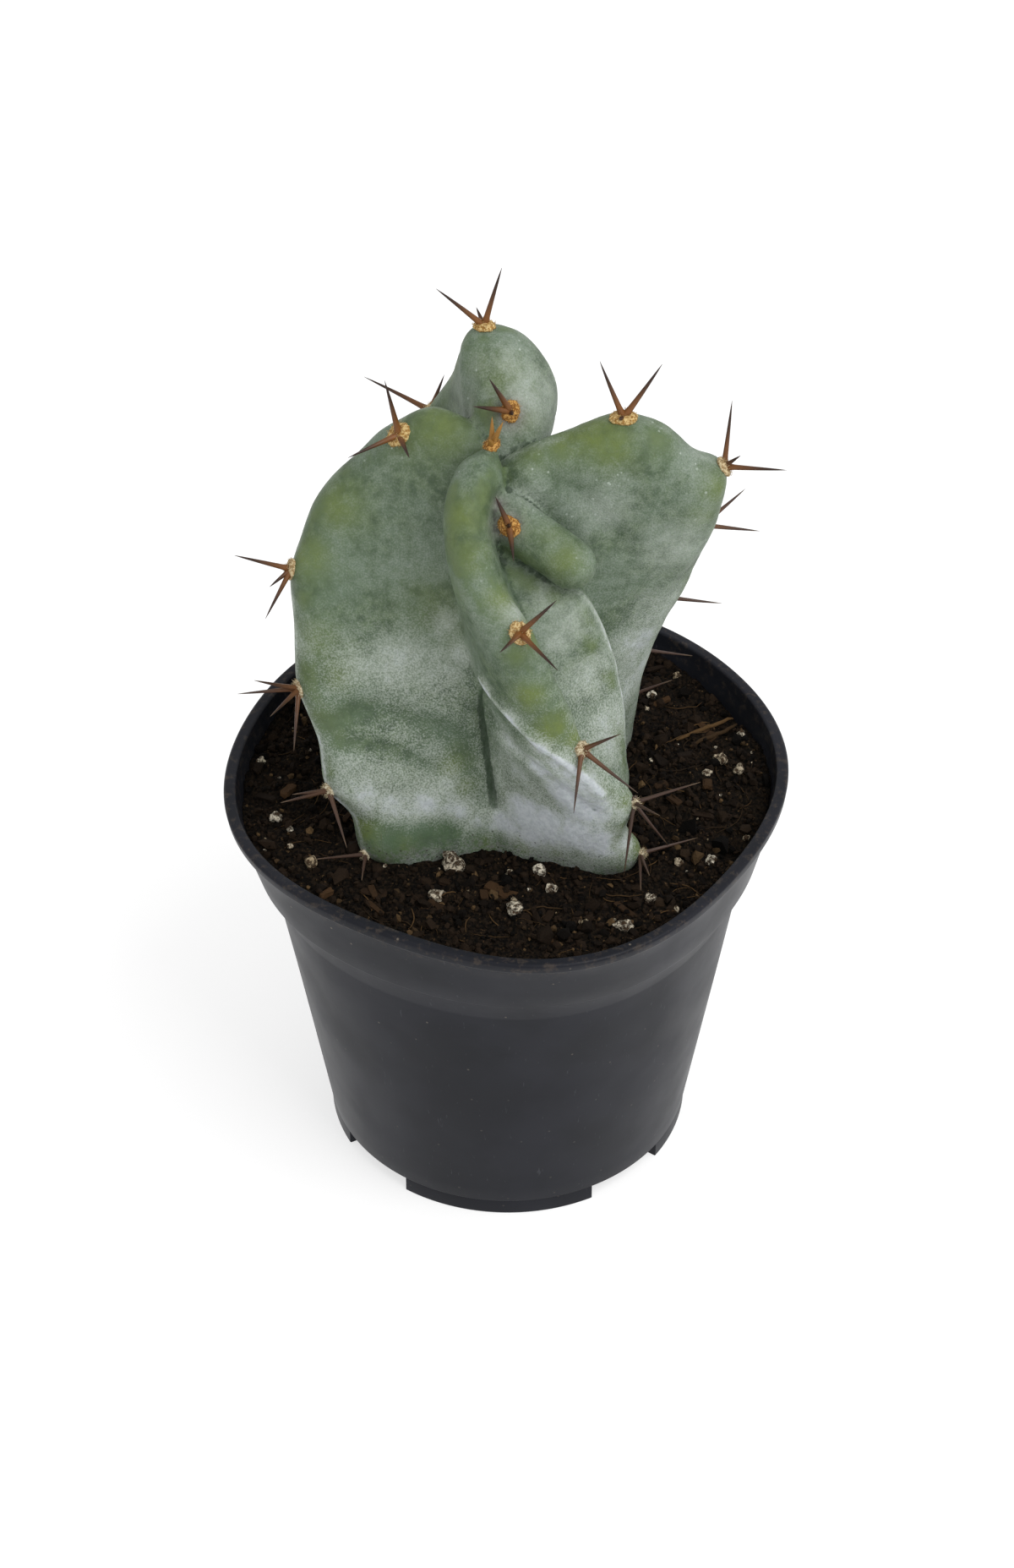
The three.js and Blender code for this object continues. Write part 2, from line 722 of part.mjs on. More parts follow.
function strawSolids() {
  return STRAWS.map(([x0, y0, x1, y1]) => {
    const start = new THREE.Vector3(x0, y0, soilHeight(x0, y0));
    const end = new THREE.Vector3(x1, y1, soilHeight(x1, y1));
    const straw = new THREE.CylinderGeometry(STRAW_RADIUS, STRAW_RADIUS, start.distanceTo(end), 6);
    straw.applyQuaternion(turnFromUp(end.clone().sub(start)));
    straw.translate(...start.lerp(end, 0.5).toArray());
    return solidOf(straw);
  });
}

// How far the stem reaches from the axis near the soil, in one direction.
function stemReach(skin, azimuth) {
  const out = new THREE.Vector3(Math.cos(azimuth), Math.sin(azimuth), 0);
  const reaches = HOLE_LEVELS.map((z) => {
    const from = out.clone().multiplyScalar(LIP_RADIUS).setZ(z);
    const [hit] = new THREE.Raycaster(from, out.clone().negate()).intersectObject(skin);
    return hit ? LIP_RADIUS - hit.distance : 0;
  });
  return Math.max(...reaches);
}

function holeSolid() {
  const cushions = AREOLES.map((areole) => cushionSolid(areoleFrame(areole)));
  const skin = new THREE.Mesh(geometryOf(wasm.Manifold.union([...RIB_ORDER.map(ribSolid), ...cushions])));
  const step = (2 * Math.PI) / HOLE_SEGMENTS;
  const shape = new THREE.Shape();
  for (let i = 0; i < HOLE_SEGMENTS; i += 1) {
    const near = Array.from({ length: HOLE_SAMPLES }, (_, k) => (2 * k) / (HOLE_SAMPLES - 1) - 1);
    const radius = HOLE_GAP + Math.max(...near.map((side) => stemReach(skin, (i + side) * step)));
    const point = [radius * Math.cos(i * step), radius * Math.sin(i * step)];
    if (i === 0) shape.moveTo(...point);
    else shape.lineTo(...point);
  }
  shape.closePath();
  const hole = new THREE.ExtrudeGeometry(shape, { depth: POT_HEIGHT - HOLE_BOTTOM, bevelEnabled: false });
  hole.translate(0, 0, HOLE_BOTTOM);
  return solidOf(hole);
}

function soilSolid() {
  const pieces = [fillSolid(), ...grainSolids(), ...chipSolids(), ...strawSolids()];
  return outerBody(wasm.Manifold.union(pieces).subtract(holeSolid()));
}

// The three pieces

const mesh = (name, solid, color, roughness) => {
  const made = new THREE.Mesh(
    geometryOf(solid),
    new THREE.MeshStandardMaterial({ color, roughness, metalness: 0 }),
  );
  made.name = name;
  return made;
};

const plant = new THREE.Group();
plant.add(mesh("pot", potSolid(), 0x3e4046, 0.5));
plant.add(mesh("soil", soilSolid(), 0x33261c, 0.95));
plant.add(mesh("cactus", stem, 0x8fa795, 0.7));

export default plant;
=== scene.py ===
import math
from functools import reduce

import bmesh
import bpy
import numpy as np
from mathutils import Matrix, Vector
from mathutils.bvhtree import BVHTree
from mathutils.kdtree import KDTree


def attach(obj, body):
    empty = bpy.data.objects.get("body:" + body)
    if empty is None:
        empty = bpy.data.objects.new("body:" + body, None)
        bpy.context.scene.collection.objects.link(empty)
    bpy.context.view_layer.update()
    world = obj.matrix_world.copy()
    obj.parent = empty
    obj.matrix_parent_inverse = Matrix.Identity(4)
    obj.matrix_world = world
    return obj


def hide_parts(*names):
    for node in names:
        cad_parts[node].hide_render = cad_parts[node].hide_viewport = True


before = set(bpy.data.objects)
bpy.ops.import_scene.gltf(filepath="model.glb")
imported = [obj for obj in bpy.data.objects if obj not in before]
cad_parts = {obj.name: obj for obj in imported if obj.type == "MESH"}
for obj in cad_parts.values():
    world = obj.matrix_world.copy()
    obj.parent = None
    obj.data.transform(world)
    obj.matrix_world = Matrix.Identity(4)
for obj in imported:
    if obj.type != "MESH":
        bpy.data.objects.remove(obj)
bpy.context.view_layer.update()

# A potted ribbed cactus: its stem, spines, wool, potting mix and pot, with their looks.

# Lengths below are in millimetres unless a name says otherwise.
MM = 0.001
BODY = "root"

# Pot, as in the frame
POT_HEIGHT = 83.2
LIP_RADIUS = 52.2
LIP_WIDTH = 2.3
LIP_DEPTH = 2.5
COLLAR_TOP_RADIUS = 50.8
COLLAR_BASE_RADIUS = 47.5
COLLAR_BASE_HEIGHT = 67.6
COLLAR_STEP = 0.3
BODY_TOP_RADIUS = 46.0
WAIST_RADIUS = 44.3
WAIST_HEIGHT = 61.5
WALL = 1.2
RING_RADIUS = 35.3
RING_HEIGHT = 3.5
RING_WIDTH = 2.2
RING_TIP = 0.9
FOOT_RADIUS = 35.1
FOOT_WIDTH = 2.0
FLOOR_TOP = 5.2
FLOOR_RISE = 1.6
FLOOR_SPREAD = 6
FOOT_SINK = 0.4
LIP_DRAFT = 0.2
LIP_CHAMFER = 0.4
FOOT_COUNT = 4
FOOT_SPAN = math.radians(62)
FOOT_START = math.radians(-93.4)
RIM_FADE = 4
RIM_WAVES = [(2, 0.15, 78), (3, 0.73, 51), (4, 0.86, 15.6), (5, 0.55, -6.2)]
WALL_LINE = [
    (RING_RADIUS, RING_HEIGHT), (WAIST_RADIUS, WAIST_HEIGHT),
    (BODY_TOP_RADIUS, COLLAR_BASE_HEIGHT - COLLAR_STEP), (COLLAR_BASE_RADIUS, COLLAR_BASE_HEIGHT),
    (COLLAR_TOP_RADIUS, POT_HEIGHT - LIP_DEPTH),
]

# Fine detail of the pot
POT_SEGMENTS = 256
POT_STEP = 3.5
FOOT_STEPS = 48
CORNER_RADIUS = 0.35
CORNER_STEPS = 4
BEVEL = 0.3
AXIS_RADIUS = 0.01
SHARP_POT = math.radians(50)

# Soil, as in the frame
SOIL_LEVEL = 78.6
SOIL_MOUND = 0.7
SOIL_HOLLOW = {"x": 44, "y": 26, "radius": 11, "depth": 2.2}

# Stem, as in the frame
APEX = (-1.5, 0, 148.5)
STEM_BOTTOM = 70
CREST_ROUNDNESS = 0.85
LEAST_BLUNTNESS = 2
FOOT_FLARE = 0.9
FLARE_RANGE = (1.3, 8)
TIP_ROUNDING = 5
TIP_OPENING = 0.08
CORE_OVERLAP = 0.4
FIRST_SHARE = 0.004
RING_CROWDING = 1.25
SIDE_SPAN = 0.08
HEART_RADIUS = 3
STEM_RINGS = 230
FLANK_SAMPLES = 160
FLANK_STEPS = 26
CURVE_STEPS = 40

RIBS = {
    "right": {
        "crest": [
            (-2.3, 0, 151.5), (0.2, 0.5, 153.8), (5, 1, 155.8), (12, 2, 158), (20, 3, 160.4),
            (27, 3, 158.3), (33, 3, 152.8), (37.8, 3, 150), (37.2, 5, 141.5), (34.8, 8, 133.5),
            (32, 10, 124), (28, 13, 113.5), (24.2, 17, 98), (22.8, 20, 84), (22, 20, 78.5),
            (19, 17, 73.5), (16, 14, 70),
        ],
        "before": [4.5, 6, 6, 5.5, 5.5, 6],
        "after": [4.5, 6, 6, 5.5, 5.5, 6],
    },
    "back": {
        "crest": [
            (-0.5, 2, 152), (-0.3, 3.2, 156), (0.4, 5.5, 160), (1, 9.5, 164.5), (-0.5, 14, 168),
            (-4.2, 18.5, 169), (-4.6, 24, 165), (-8, 28.3, 154.5), (-14.2, 30.3, 142.8), (-17.5, 30.5, 132),
            (-20, 29.5, 117), (-22, 27.5, 102), (-22, 24.5, 88), (-21, 22, 79), (-17, 18, 73.5),
            (-14, 15, 70),
        ],
        "pivot": ((-2, 12, 148), 0.45),
        "before": [8, 12.2, 10.8, 7, 6, 6],
        "after": [8, 5.5, 3.5, 4.5, 6, 6],
    },
    "left": {
        "crest": [
            (-2, 4, 153.5), (-6.5, 6.5, 157), (-13.1, 9, 158.3), (-20.8, 10.5, 153.8),
            (-27, 10, 147.8), (-33.6, 7.5, 141.2), (-36.8, 3.5, 134.5), (-38.5, -1, 130.5), (-38, -6, 121.5),
            (-37.5, -10, 110.5), (-34, -13.5, 100.5), (-32.5, -16.5, 92), (-28, -18, 87),
            (-26, -20.5, 80), (-22.5, -18, 74), (-19, -15, 70),
        ],
        "before": [3, 5.5, 6, 5.5, 5.5, 6],
        "after": [3, 5.5, 6, 5.5, 5.5, 6],
    },
    "front": {
        "crest": [
            (-2.8, -1, 157.5), (-6, -6, 157), (-7.5, -11, 153.5), (-7.2, -16, 148), (-5, -20, 142),
            (2, -25, 135), (6.5, -26, 126.5), (10.5, -26.5, 117), (13, -26.5, 110),
            (18, -25.5, 103.5), (22.5, -24, 95.5), (21.2, -23.5, 88.5), (24, -22, 81.5),
            (21, -18, 74), (17, -15, 70),
        ],
        "before": [4.5, 5.2, 8, 9, 7, 6],
        "after": [4, 4, 2.5, 1.5, 2, 4],
    },
    "young": {
        "crest": [
            (1, -7.5, 141.5), (4.5, -9.5, 138.5), (9, -11.2, 135.8), (13.5, -12.3, 133),
            (16.4, -12.8, 127.5), (19, -12.5, 119), (20.8, -10.8, 107), (21.5, -9, 95),
            (22, -6, 83), (20, -4, 74), (17, -4, 70),
        ],
        "from": 0.14,
        "before": [3, 2.5, 1.5, 1.2, 1.2, 2],
        "after": [3, 3, 3, 3.5, 4, 4],
    },
}
RIB_ORDER = ["right", "back", "left", "front", "young"]
VALLEYS = [
    [(1.5, 1.5, 147), (5, 8, 142), (8, 12, 132), (9, 14, 118), (7, 17, 100), (3, 19, 84), (2, 17, 70)],
    [
        (-2.5, 2, 147), (-8, 9, 142), (-13, 12, 131), (-16, 12, 116), (-19, 8, 99), (-21, 3, 84),
        (-19, 2, 70),
    ],
    [
        (-5, -2, 146.5), (-9, -5, 140), (-9, -8, 131.5), (-7.5, -11, 122), (-5, -13.5, 108.5),
        (-3.5, -15.5, 98.5), (-2.5, -17, 90), (-2, -18.5, 80.5), (-2, -17, 70),
    ],
    [
        (-2.5, -3, 146), (-3, -7, 141.5), (0, -13, 137), (3.5, -18, 131), (8, -21.5, 118),
        (11.5, -22, 110), (16, -22, 101), (20, -21, 92), (21, -17, 83), (18, -11, 70),
    ],
    [
        (0.5, -1.5, 147), (6, -4, 141), (12, -5, 133), (15, -4.5, 121), (17, -2, 106),
        (19.5, 2, 92), (20.5, 5, 80), (18, 4, 70),
    ],
]
POD_START = (-0.2, -6.3, 145.6)
POD_END = (10.9, -11.8, 139.9)
POD_RADIUS = 4.5
POD_NECK = (0.8, -7, 138)
POD_NECK_RADIUS = 3.2

# Areoles by rib and crest point, how young each is (1 at the tips), and its spines as
# (turn from the rib's tip, lift off the skin, length), in degrees and millimetres.
AREOLES = [
    ("right", 4, 0.6, [(18, 67, 12), (168, 54, 12), (-70, 30, 3.5)]),
    ("right", 7, 0.3, [(28, 33, 12), (-112, 62, 12), (-35, 55, 5)]),
    ("right", 9, 0.2, [(74, 67, 12), (-123, 74, 12)]),
    ("right", 11, 0.1, [(-92, 59, 12), (60, 40, 9)]),
    ("right", 12, 0, [(-125, 60, 12), (50, 45, 9)]),
    ("right", 13, 0, [(-40, 50, 9), (60, 50, 9)]),
    ("back", 2, 1, [(135, 40, 9.5), (90, 35, 9), (-20, 75, 2.5)]),
    ("back", 5, 0.5, [(92, 47, 12), (-41, 70, 12), (180, 40, 4)]),
    ("back", 8, 0.3, [(115, 71, 14), (-36, 23, 7)]),
    ("back", 10, 0.1, [(10, 50, 11), (130, 45, 10), (-110, 60, 11)]),
    ("back", 12, 0, [(15, 50, 10), (120, 45, 9), (-120, 55, 11)]),
    ("left", 3, 0.6, [(-46, 49, 12), (161, 43, 10.5), (75, 20, 7)], (1.7, -4.1, 0.6)),
    ("left", 7, 0.3, [(71, 74, 12), (147, 46, 6), (149, 26, 12)]),
    ("left", 9, 0.2, [(45, 50, 12), (25, 75, 12), (95, 45, 12), (145, 25, 12)]),
    ("left", 11, 0.1, [(35, 55, 9), (45, 60, 12), (140, 20, 12)]),
    ("left", 13, 0, [(0, 50, 12), (80, 45, 8)]),
    ("front", 0, 1.2, [(75, 65, 5), (150, 50, 4), (20, 50, 4.5), (-20, 70, 5)]),
    ("front", 5, 0.4, [(67, 53, 11.5), (-75, 51, 11.5), (184, 52, 11.5)]),
    ("front", 8, 0.2, [(55, 62, 9.5), (-171, 48, 12.5), (-108, 19, 12)]),
    ("front", 10, 0, [(77, 61, 12.5), (-58, 50, 8.5), (-146, -4, 13.5), (-186, 18, 13.5)]),
    ("front", 12, 0, [(112, 47, 12), (-70, 15, 9.5), (-60, 26, 7.5)]),
    ("pod", 0, 0.9, [(40, 35, 7), (-145, 45, 8), (90, 75, 2.5)]),
]
POD_AREOLE_ALONG = 1.4
POD_AREOLE_TURN = math.radians(21)

# Fine detail of the plant
SKIN_CELL = 0.58
SHARP_SKIN = math.radians(34)
SLOW_BUMPS = (0.1, 11)
FINE_BUMPS = (0.025, 3)
PRESS_STEP = 0.4
PRESS_SPAN = 15
SPINE_RADIUS = 0.44
STRONG_SPINE = 0.3
SPINE_ROOT = 1.2
SPINE_TIP = 0.03
SPINE_BOW = 0.03
SPINE_SWELL = 0.35
SWELL_LENGTH = 0.9
SPINE_SIDES = 8
SPINE_RINGS = 9
WOOL_SPREAD = ((0, 0.2, 0.4, 0.6, 1, 1.2), (0.9, 1.5, 1.85, 2.1, 1.7, 1.4))
WOOL_HEIGHT = 0.9
WOOL_LONG = 1.2
WOOL_LUMPS = (0.16, 0.9)
WOOL_SIDES = 20
WOOL_ANGLES = np.radians(np.linspace(-60, 80, 8))
WOOL_HAIRS = 150
HAIR_RADIUS = 0.045
HAIR_DEPTH = 0.9
HAIR_LENGTHS = (0.35, 0.9)
HAIR_CORNERS = (0, 2.1, 4.2)
HAIR_CURL = (0.12, 0.3)
HAIR_STRAY = 0.6
HAIR_RISE = 0.3

# Soft patches on the skin: x, y, z, radius, strength
GREEN_PATCHES = [
    (-12, 4.5, 157.4, 5.5, 0.8), (-18, 5, 154, 4, 0.5), (-30, 2.4, 141.7, 4.5, 0.8),
    (-35.5, -2, 134, 4, 0.9), (-34, -9, 121, 4.5, 0.5), (-9, -18.4, 138.9, 4, 0.3),
    (-13.5, -9, 127, 6, 0.35), (-10, -11, 122, 4, 0.3), (-8.2, -13, 151, 4, 0.8),
    (-6.7, -17.6, 145.6, 4, 0.65), (-1, -21, 139, 3.6, 0.9), (3.4, -23.2, 134, 3.6, 0.8),
    (1.5, -26.7, 131.5, 2.6, 0.5), (3.5, -27.7, 122.9, 3.2, 1.1), (7.9, -28.2, 116.3, 3.4, 1.1),
    (11.7, -26.6, 113, 3, 1), (21.2, -25.7, 96.9, 2.4, 0.8), (4.6, -0.6, 155.4, 3.5, 0.5),
    (9.8, 0.8, 157.2, 4, 0.85), (15, 0.8, 158.5, 5, 1), (18, -1, 157.3, 4.5, 0.9),
    (26.2, 0.8, 158.1, 4, 0.4), (36.5, -0.5, 148, 3.5, 0.7), (34, -1.5, 143, 3, 0.5),
    (7.6, -11.7, 146, 3.5, 0.35), (9.8, -14.5, 142.5, 3.5, 0.8), (-26.5, -20, 85.3, 3.2, 1),
    (-19, -21.5, 83, 2.6, 0.5), (2.9, -20.6, 81.8, 2, 0.8), (8.2, -23.3, 83, 2, 0.7),
    (23.6, -22.1, 83.6, 2.6, 1), (-30.3, -12.4, 115.3, 3.5, 0.5), (-33.5, -13.9, 106.7, 3.5, 0.5),
    (-10.1, -15, 96.7, 2.6, 0.7), (-7.9, -16.1, 92.6, 2.2, 0.6), (-4.1, -18.7, 80.6, 3, 0.6),
    (-1.7, 8.9, 164.1, 3, 0.5), (-0.2, 9.9, 165.2, 3.5, 0.5), (-4.6, 12, 165.5, 3, 0.4), (4, 6, 158, 3, 0.4),
    (-16, 31, 128, 6, 0.6), (-21, 29, 108, 7, 0.6), (-22.5, 26, 94, 6, 0.5), (34, 11, 128, 5, 0.5),
]
WAX_PATCHES = [
    (-27.3, -11.7, 116.6, 6, 0.4), (-19.8, -11, 116.1, 7, 0.5), (-12.3, -11.3, 114.4, 6, 0.45),
    (-21.4, -13, 107.9, 7, 0.35), (-24, -18, 95, 8, 0.35), (-14, -17, 92, 8, 0.35), (-3, -17.5, 93, 7, 0.35),
    (-30.8, -18.4, 91.5, 3.5, 0.5), (-26.1, -20, 92, 4, 0.6), (-20.8, -19.9, 90.9, 4, 0.65),
    (-15.5, -19.3, 89.7, 4, 0.7), (-9.4, -18.6, 87.7, 4, 0.75), (-5.6, -18.5, 84.5, 3.5, 0.8),
    (-0.8, -18.6, 85.1, 4.5, 0.85), (4.4, -21.4, 86.2, 5, 0.85), (9.5, -24.4, 88, 5, 0.85),
    (14.5, -26.2, 88.4, 5, 0.85), (18.1, -26.1, 87.1, 4, 0.7), (-11.4, -8.7, 124.7, 3, 0.5),
    (-8, -11.3, 119.2, 3, 0.6), (-3.9, -20, 118.5, 2.4, 0.6), (0.5, -25.2, 116.4, 2.4, 0.65),
    (5.7, -28.2, 111.8, 2.8, 0.75), (10.5, -29, 106.6, 3.4, 0.8), (14.8, -28.7, 100.5, 4, 0.8),
    (19.4, -27.1, 95.1, 3.4, 0.5), (8, -25, 96, 8, 0.5), (2, -21, 100, 6, 0.35),
    (0.1, -21.7, 107.4, 3.5, 0.6), (5, -26.5, 105.5, 4, 0.75), (10, -27.3, 100.9, 5, 0.85),
    (14.9, -27.3, 96.3, 5.5, 0.85), (11.6, -16, 129.6, 6, 0.45), (8.7, -17.9, 127.3, 3, 0.5),
    (14.7, -16.8, 118.8, 7, 0.5), (17.9, -15.9, 106.4, 7, 0.55), (19.6, -14.2, 103, 5, 0.6),
    (29.7, -1.6, 135.3, 8, 0.4), (27.3, 2.9, 118.6, 8, 0.5), (24.9, 8, 100, 8, 0.55), (34, 2, 150, 6, 0.2),
    (-38, -4, 126, 4, 0.2), (-9.5, -9, 147, 4, 0.15), (1.5, 5, 152, 4, 0.4), (4, 9, 161, 7, 0.5),
    (-15, 10, 133, 9, 0.15), (5, 18, 110, 10, 0.3), (17.3, -26.5, 88.5, 4, 1.0),
    (20.4, -25.1, 86.3, 3.2, 0.9), (13.4, -26.8, 95.8, 5, 1.0), (10.3, -26.7, 98.8, 5, 1.0),
    (12, -25.5, 89.7, 5, 1.05), (7.4, -23.3, 89.8, 5, 1.0), (2.9, -20.5, 90.3, 5, 0.9),
    (8.7, -28.5, 109.2, 3, 0.8), (13.2, -28.7, 104.4, 3.5, 0.9), (-0.2, 10.5, 165.7, 4, 0.45),
    (7.2, 12.4, 160, 5, 0.4), (2.7, -4.4, 148.4, 4, 0.35), (23.6, 2.8, 110.8, 7, 0.65),
    (17.5, -2.9, 145.5, 6, 0.3), (6.4, -14.5, 134.6, 3.5, 0.45), (1.3, -21.8, 137.5, 3, 0.5),
    (-36, -9.1, 120.3, 3.5, 0.3),
]
# Patches of thinner wax whose darker skin is partly painted shade, most of them just above the soil.
BARE_AND_SHADED_PATCHES = [
    (-25, -21, 83.4, 3, 0.5), (-20.5, -21.6, 84.2, 3.4, 0.75), (-15.6, -20.8, 84.6, 3.4, 0.8),
    (-11, -19.6, 84.5, 3.2, 0.75), (-6, -18.4, 82.5, 3, 0.7), (-1.5, -18.4, 81.8, 2.6, 0.5),
    (-27, -12, 108, 5, 0.2), (-34, -8, 133, 7, 0.16), (-30, -9, 140, 7, 0.12),
]
PURPLE_PATCHES = [
    (0.4, 5.1, 159.5, 2.6, 0.45), (-0.2, -10.6, 147.2, 2.4, 0.45), (-1.7, -7.8, 149.6, 1.6, 0.3),
]

# Folds of the skin: half width, height (below nothing for a furrow) and points along each
FOLDS = {
    "ridge": (1.2, 0.9, [
        (-5.3, -17.3, 119.6), (-3.2, -21.1, 118.4), (-0.9, -23.9, 117.5), (3.5, -27.2, 114.3),
        (8.7, -28.4, 110.1), (13.2, -28.2, 105.4), (17, -28.2, 101),
    ]),
    "crease": (0.8, -0.9, [
        (-5.4, -16.8, 119.8), (-5, -13.4, 110.2), (-4.3, -14.1, 102.9), (-3.6, -15.2, 95.9),
        (-2.8, -16.5, 88.3),
    ]),
    "ridge foot": (1.6, -0.7, [
        (-3.5, -16.2, 109.4), (0.1, -21.7, 107.4), (5, -26.5, 105.5), (10, -27.3, 100.9), (14.9, -27.3, 96.3),
    ]),
    "long trough": (2.4, -0.9, [
        (-32.8, -14.3, 105.1), (-25.9, -13.2, 107.7), (-16.9, -13.5, 106), (-10.8, -14.5, 103.3),
        (-7.1, -15.2, 96.9), (-4.8, -16.1, 90.6),
    ]),
    "low trough": (1.6, -0.55, [
        (-30.6, -15.4, 102), (-24.5, -15.7, 101.7), (-18.5, -15.5, 99.5), (-13.2, -15.6, 96.3),
    ]),
    "left swell": (4.2, 0.7, [(-25.8, -12.1, 115), (-18.3, -11.9, 113.9), (-10.8, -13.2, 109.1)]),
    "low swell": (3, 0.6, [(-26.1, -16.8, 99.2), (-20, -18, 94.3), (-12.4, -18, 91.2)]),
    "right furrow": (2.6, -0.5, [(19.9, -3.1, 136.5), (13.1, -3, 147.4), (7.1, -3.2, 153)]),
    "right swell": (2.2, 0.5, [(32.1, -0.1, 132.3), (28, 1, 122), (25.5, 6, 112)]),
}

# Fine detail of the soil
SOIL_BOTTOM = 7.2
SOIL_SIDE_HEIGHTS = (72, COLLAR_BASE_HEIGHT, WAIST_HEIGHT, 40, SOIL_BOTTOM)
SOIL_CLEARANCE = 0.05
SOIL_SEGMENTS = 520
SOIL_RINGS = 110
LUMP_HEIGHT = 0.3
CLOD_HEIGHT = 0.45
CLOD_SINK = 0.2
STEM_MARGIN = 0.3
CRUMB_MARGIN = 0.7
CHIP_MARGIN = 3.5
FIBRE_MARGIN = 3
FIBRE_END_MARGIN = 0.8
CRUMB_COUNT = 4600
PERLITE_COUNT = 70
CHIP_COUNT = 40
FIBRE_COUNT = 130
FIBRE_RINGS = 12
CRUMB_SPREAD = (1.8, 0.21)
LEAST_CRUMB = 0.14
LEAST_PERLITE = 0.2
PERLITE_SPAN = 0.7
CHIP_SIZES = ((1.6, 5), (0.8, 2), (0.4, 1))
CHIP_TILT = 0.25
CHIP_SQUARENESS = 0.35
CHIP_ROUGHNESS = 0.14
FIBRE_LENGTHS = (2, 9)
FIBRE_RADII = (0.05, 0.14)
FIBRE_BOW = 0.25
STRAW_RADIUS = 0.42
STRAW_BOW = 0.1
GRAINS = [
    (-43, -9, 1.4), (-10.1, -22.8, 2.2), (-12.7, -30.4, 2), (5.7, -25.4, 1.4), (1.2, -34.9, 1.5),
    (7.8, -29.3, 1.3), (13.7, -38.4, 1.2), (20.6, -39.4, 1.5), (25.7, -31.5, 1.2), (31.1, -21.6, 1),
    (37, -21.6, 1.2), (30.1, -33.8, 1), (-46.6, 6.7, 1), (39.9, 7, 1.6), (43.2, 3.9, 1.2),
    (37.3, 3.3, 1.2), (44.4, 15.8, 1), (27.6, 26.3, 1), (-35.5, 21, 1.4), (-14, 39.5, 1.6),
    (11, 42, 1.2), (-36, -22, 1.3),
]
CHIPS = [
    (-1.7, -29.3, 5.6, 2.6, 1.2, -36), (28.5, 6.5, 3.4, 1.5, 1, -54), (-30, 31, 6, 2.8, 1.3, 25),
    (-41, -2, 4.4, 2, 1, 70), (22, 37, 5, 2.2, 1.2, -20),
]
STRAWS = [(31.9, 12.9, 43, 20.7), (34.4, 11.2, 43.6, 18.3), (-22, 37, -33, 27)]

# Viewpoint of the photograph
AIM = (-0.2, 0, 79.3)
VIEW_DISTANCE = 700
VIEW_ELEVATION = math.radians(40.66)
LENS = 86.05
SENSOR = 36

# Light, in metres and watts, and floor
KEY_PLACE = Vector((0.6, -0.5, 1.1))
KEY_AIM = Vector((0, 0, 0.1))
KEY_SIZE = 0.9
KEY_POWER = 10
WORLD_STRENGTH = 0.82
FLOOR_REACH = 4000
WHITE = (1, 1, 1, 1)


# Numbers

def unit(vectors):
    lengths = np.linalg.norm(vectors, axis=-1, keepdims=True)
    return vectors / np.maximum(lengths, 1e-9)


def smoothstep(values, low, high):
    share = np.clip((values - low) / (high - low), 0, 1)
    return share * share * (3 - 2 * share)


def bumps(points, size, seed, octaves=3, waves=14):
    """Smooth random bumps of about the given size, between about -1 and 1, at 3-D points."""
    rng = np.random.default_rng(seed)
    total = np.zeros(len(points))
    for octave in range(octaves):
        ways = unit(rng.normal(size=(waves, 3))) * (2 * math.pi / (size * 0.5 ** octave))
        ways = ways * rng.uniform(0.6, 1.4, (waves, 1))
        starts = rng.uniform(0, 2 * math.pi, waves)
        total += 0.5 ** octave * np.sin(points @ ways.T + starts).sum(axis=1) / 5
    return total


def wheel(count, across, up):
    """Ways out from an axle, evenly round it."""
    turns = np.linspace(0, 2 * math.pi, count, endpoint=False)[:, None]
    return np.cos(turns) * across + np.sin(turns) * up


def around(radius, height, turns):
    """Points at a radius and a height, turned round the pot's axis."""
    return np.stack(np.broadcast_arrays(radius * np.cos(turns), radius * np.sin(turns), height), -1)


# Meshes

def add_object(name, data):
    """A new object in the scene."""
    item = bpy.data.objects.new(name, data)
    bpy.context.scene.collection.objects.link(item)
    return item


def make_piece(name, points, faces, smooth=True):
    """A mesh object from points in millimetres."""
    mesh = bpy.data.meshes.new(name)
    mesh.from_pydata((np.asarray(points) * MM).tolist(), [], faces)
    mesh.validate()
    if smooth:
        mesh.shade_smooth()
    return add_object(name, mesh)


def add_attribute(piece, name, values):
    attribute = piece.data.attributes.new(name, "FLOAT", "POINT")
    attribute.data.foreach_set("value", np.asarray(values, dtype=np.float32))


def closed_body(rings, first, last):
    """Points and faces of a body through rings of points, closed by a point at each end."""
    rings = np.asarray(rings)
    rounds, count = rings.shape[:2]
    ring, i = np.meshgrid(np.arange(rounds - 1), np.arange(count), indexing="ij")
    a = 1 + ring * count + i
    b = 1 + ring * count + (i + 1) % count
    quads = np.stack([a, b, b + count, a + count], -1).reshape(-1, 4)
    faces = [tuple(quad) for quad in quads.tolist()]
    end = 1 + rounds * count
    for k in range(count):
        after = (k + 1) % count
        faces.append((0, 1 + after, 1 + k))
        faces.append((end, end - count + k, end - count + after))
    return np.vstack([first, rings.reshape(-1, 3), last]), faces


def flipped(points, faces):
    """The same body with its faces turned round."""
    return points, [face[::-1] for face in faces]


def rod(middle, thick, rim):
    """Points and faces of a thin rod along a line of points."""
    return closed_body(middle[:, None] + thick[:, None, None] * rim[None], middle[0], middle[-1])


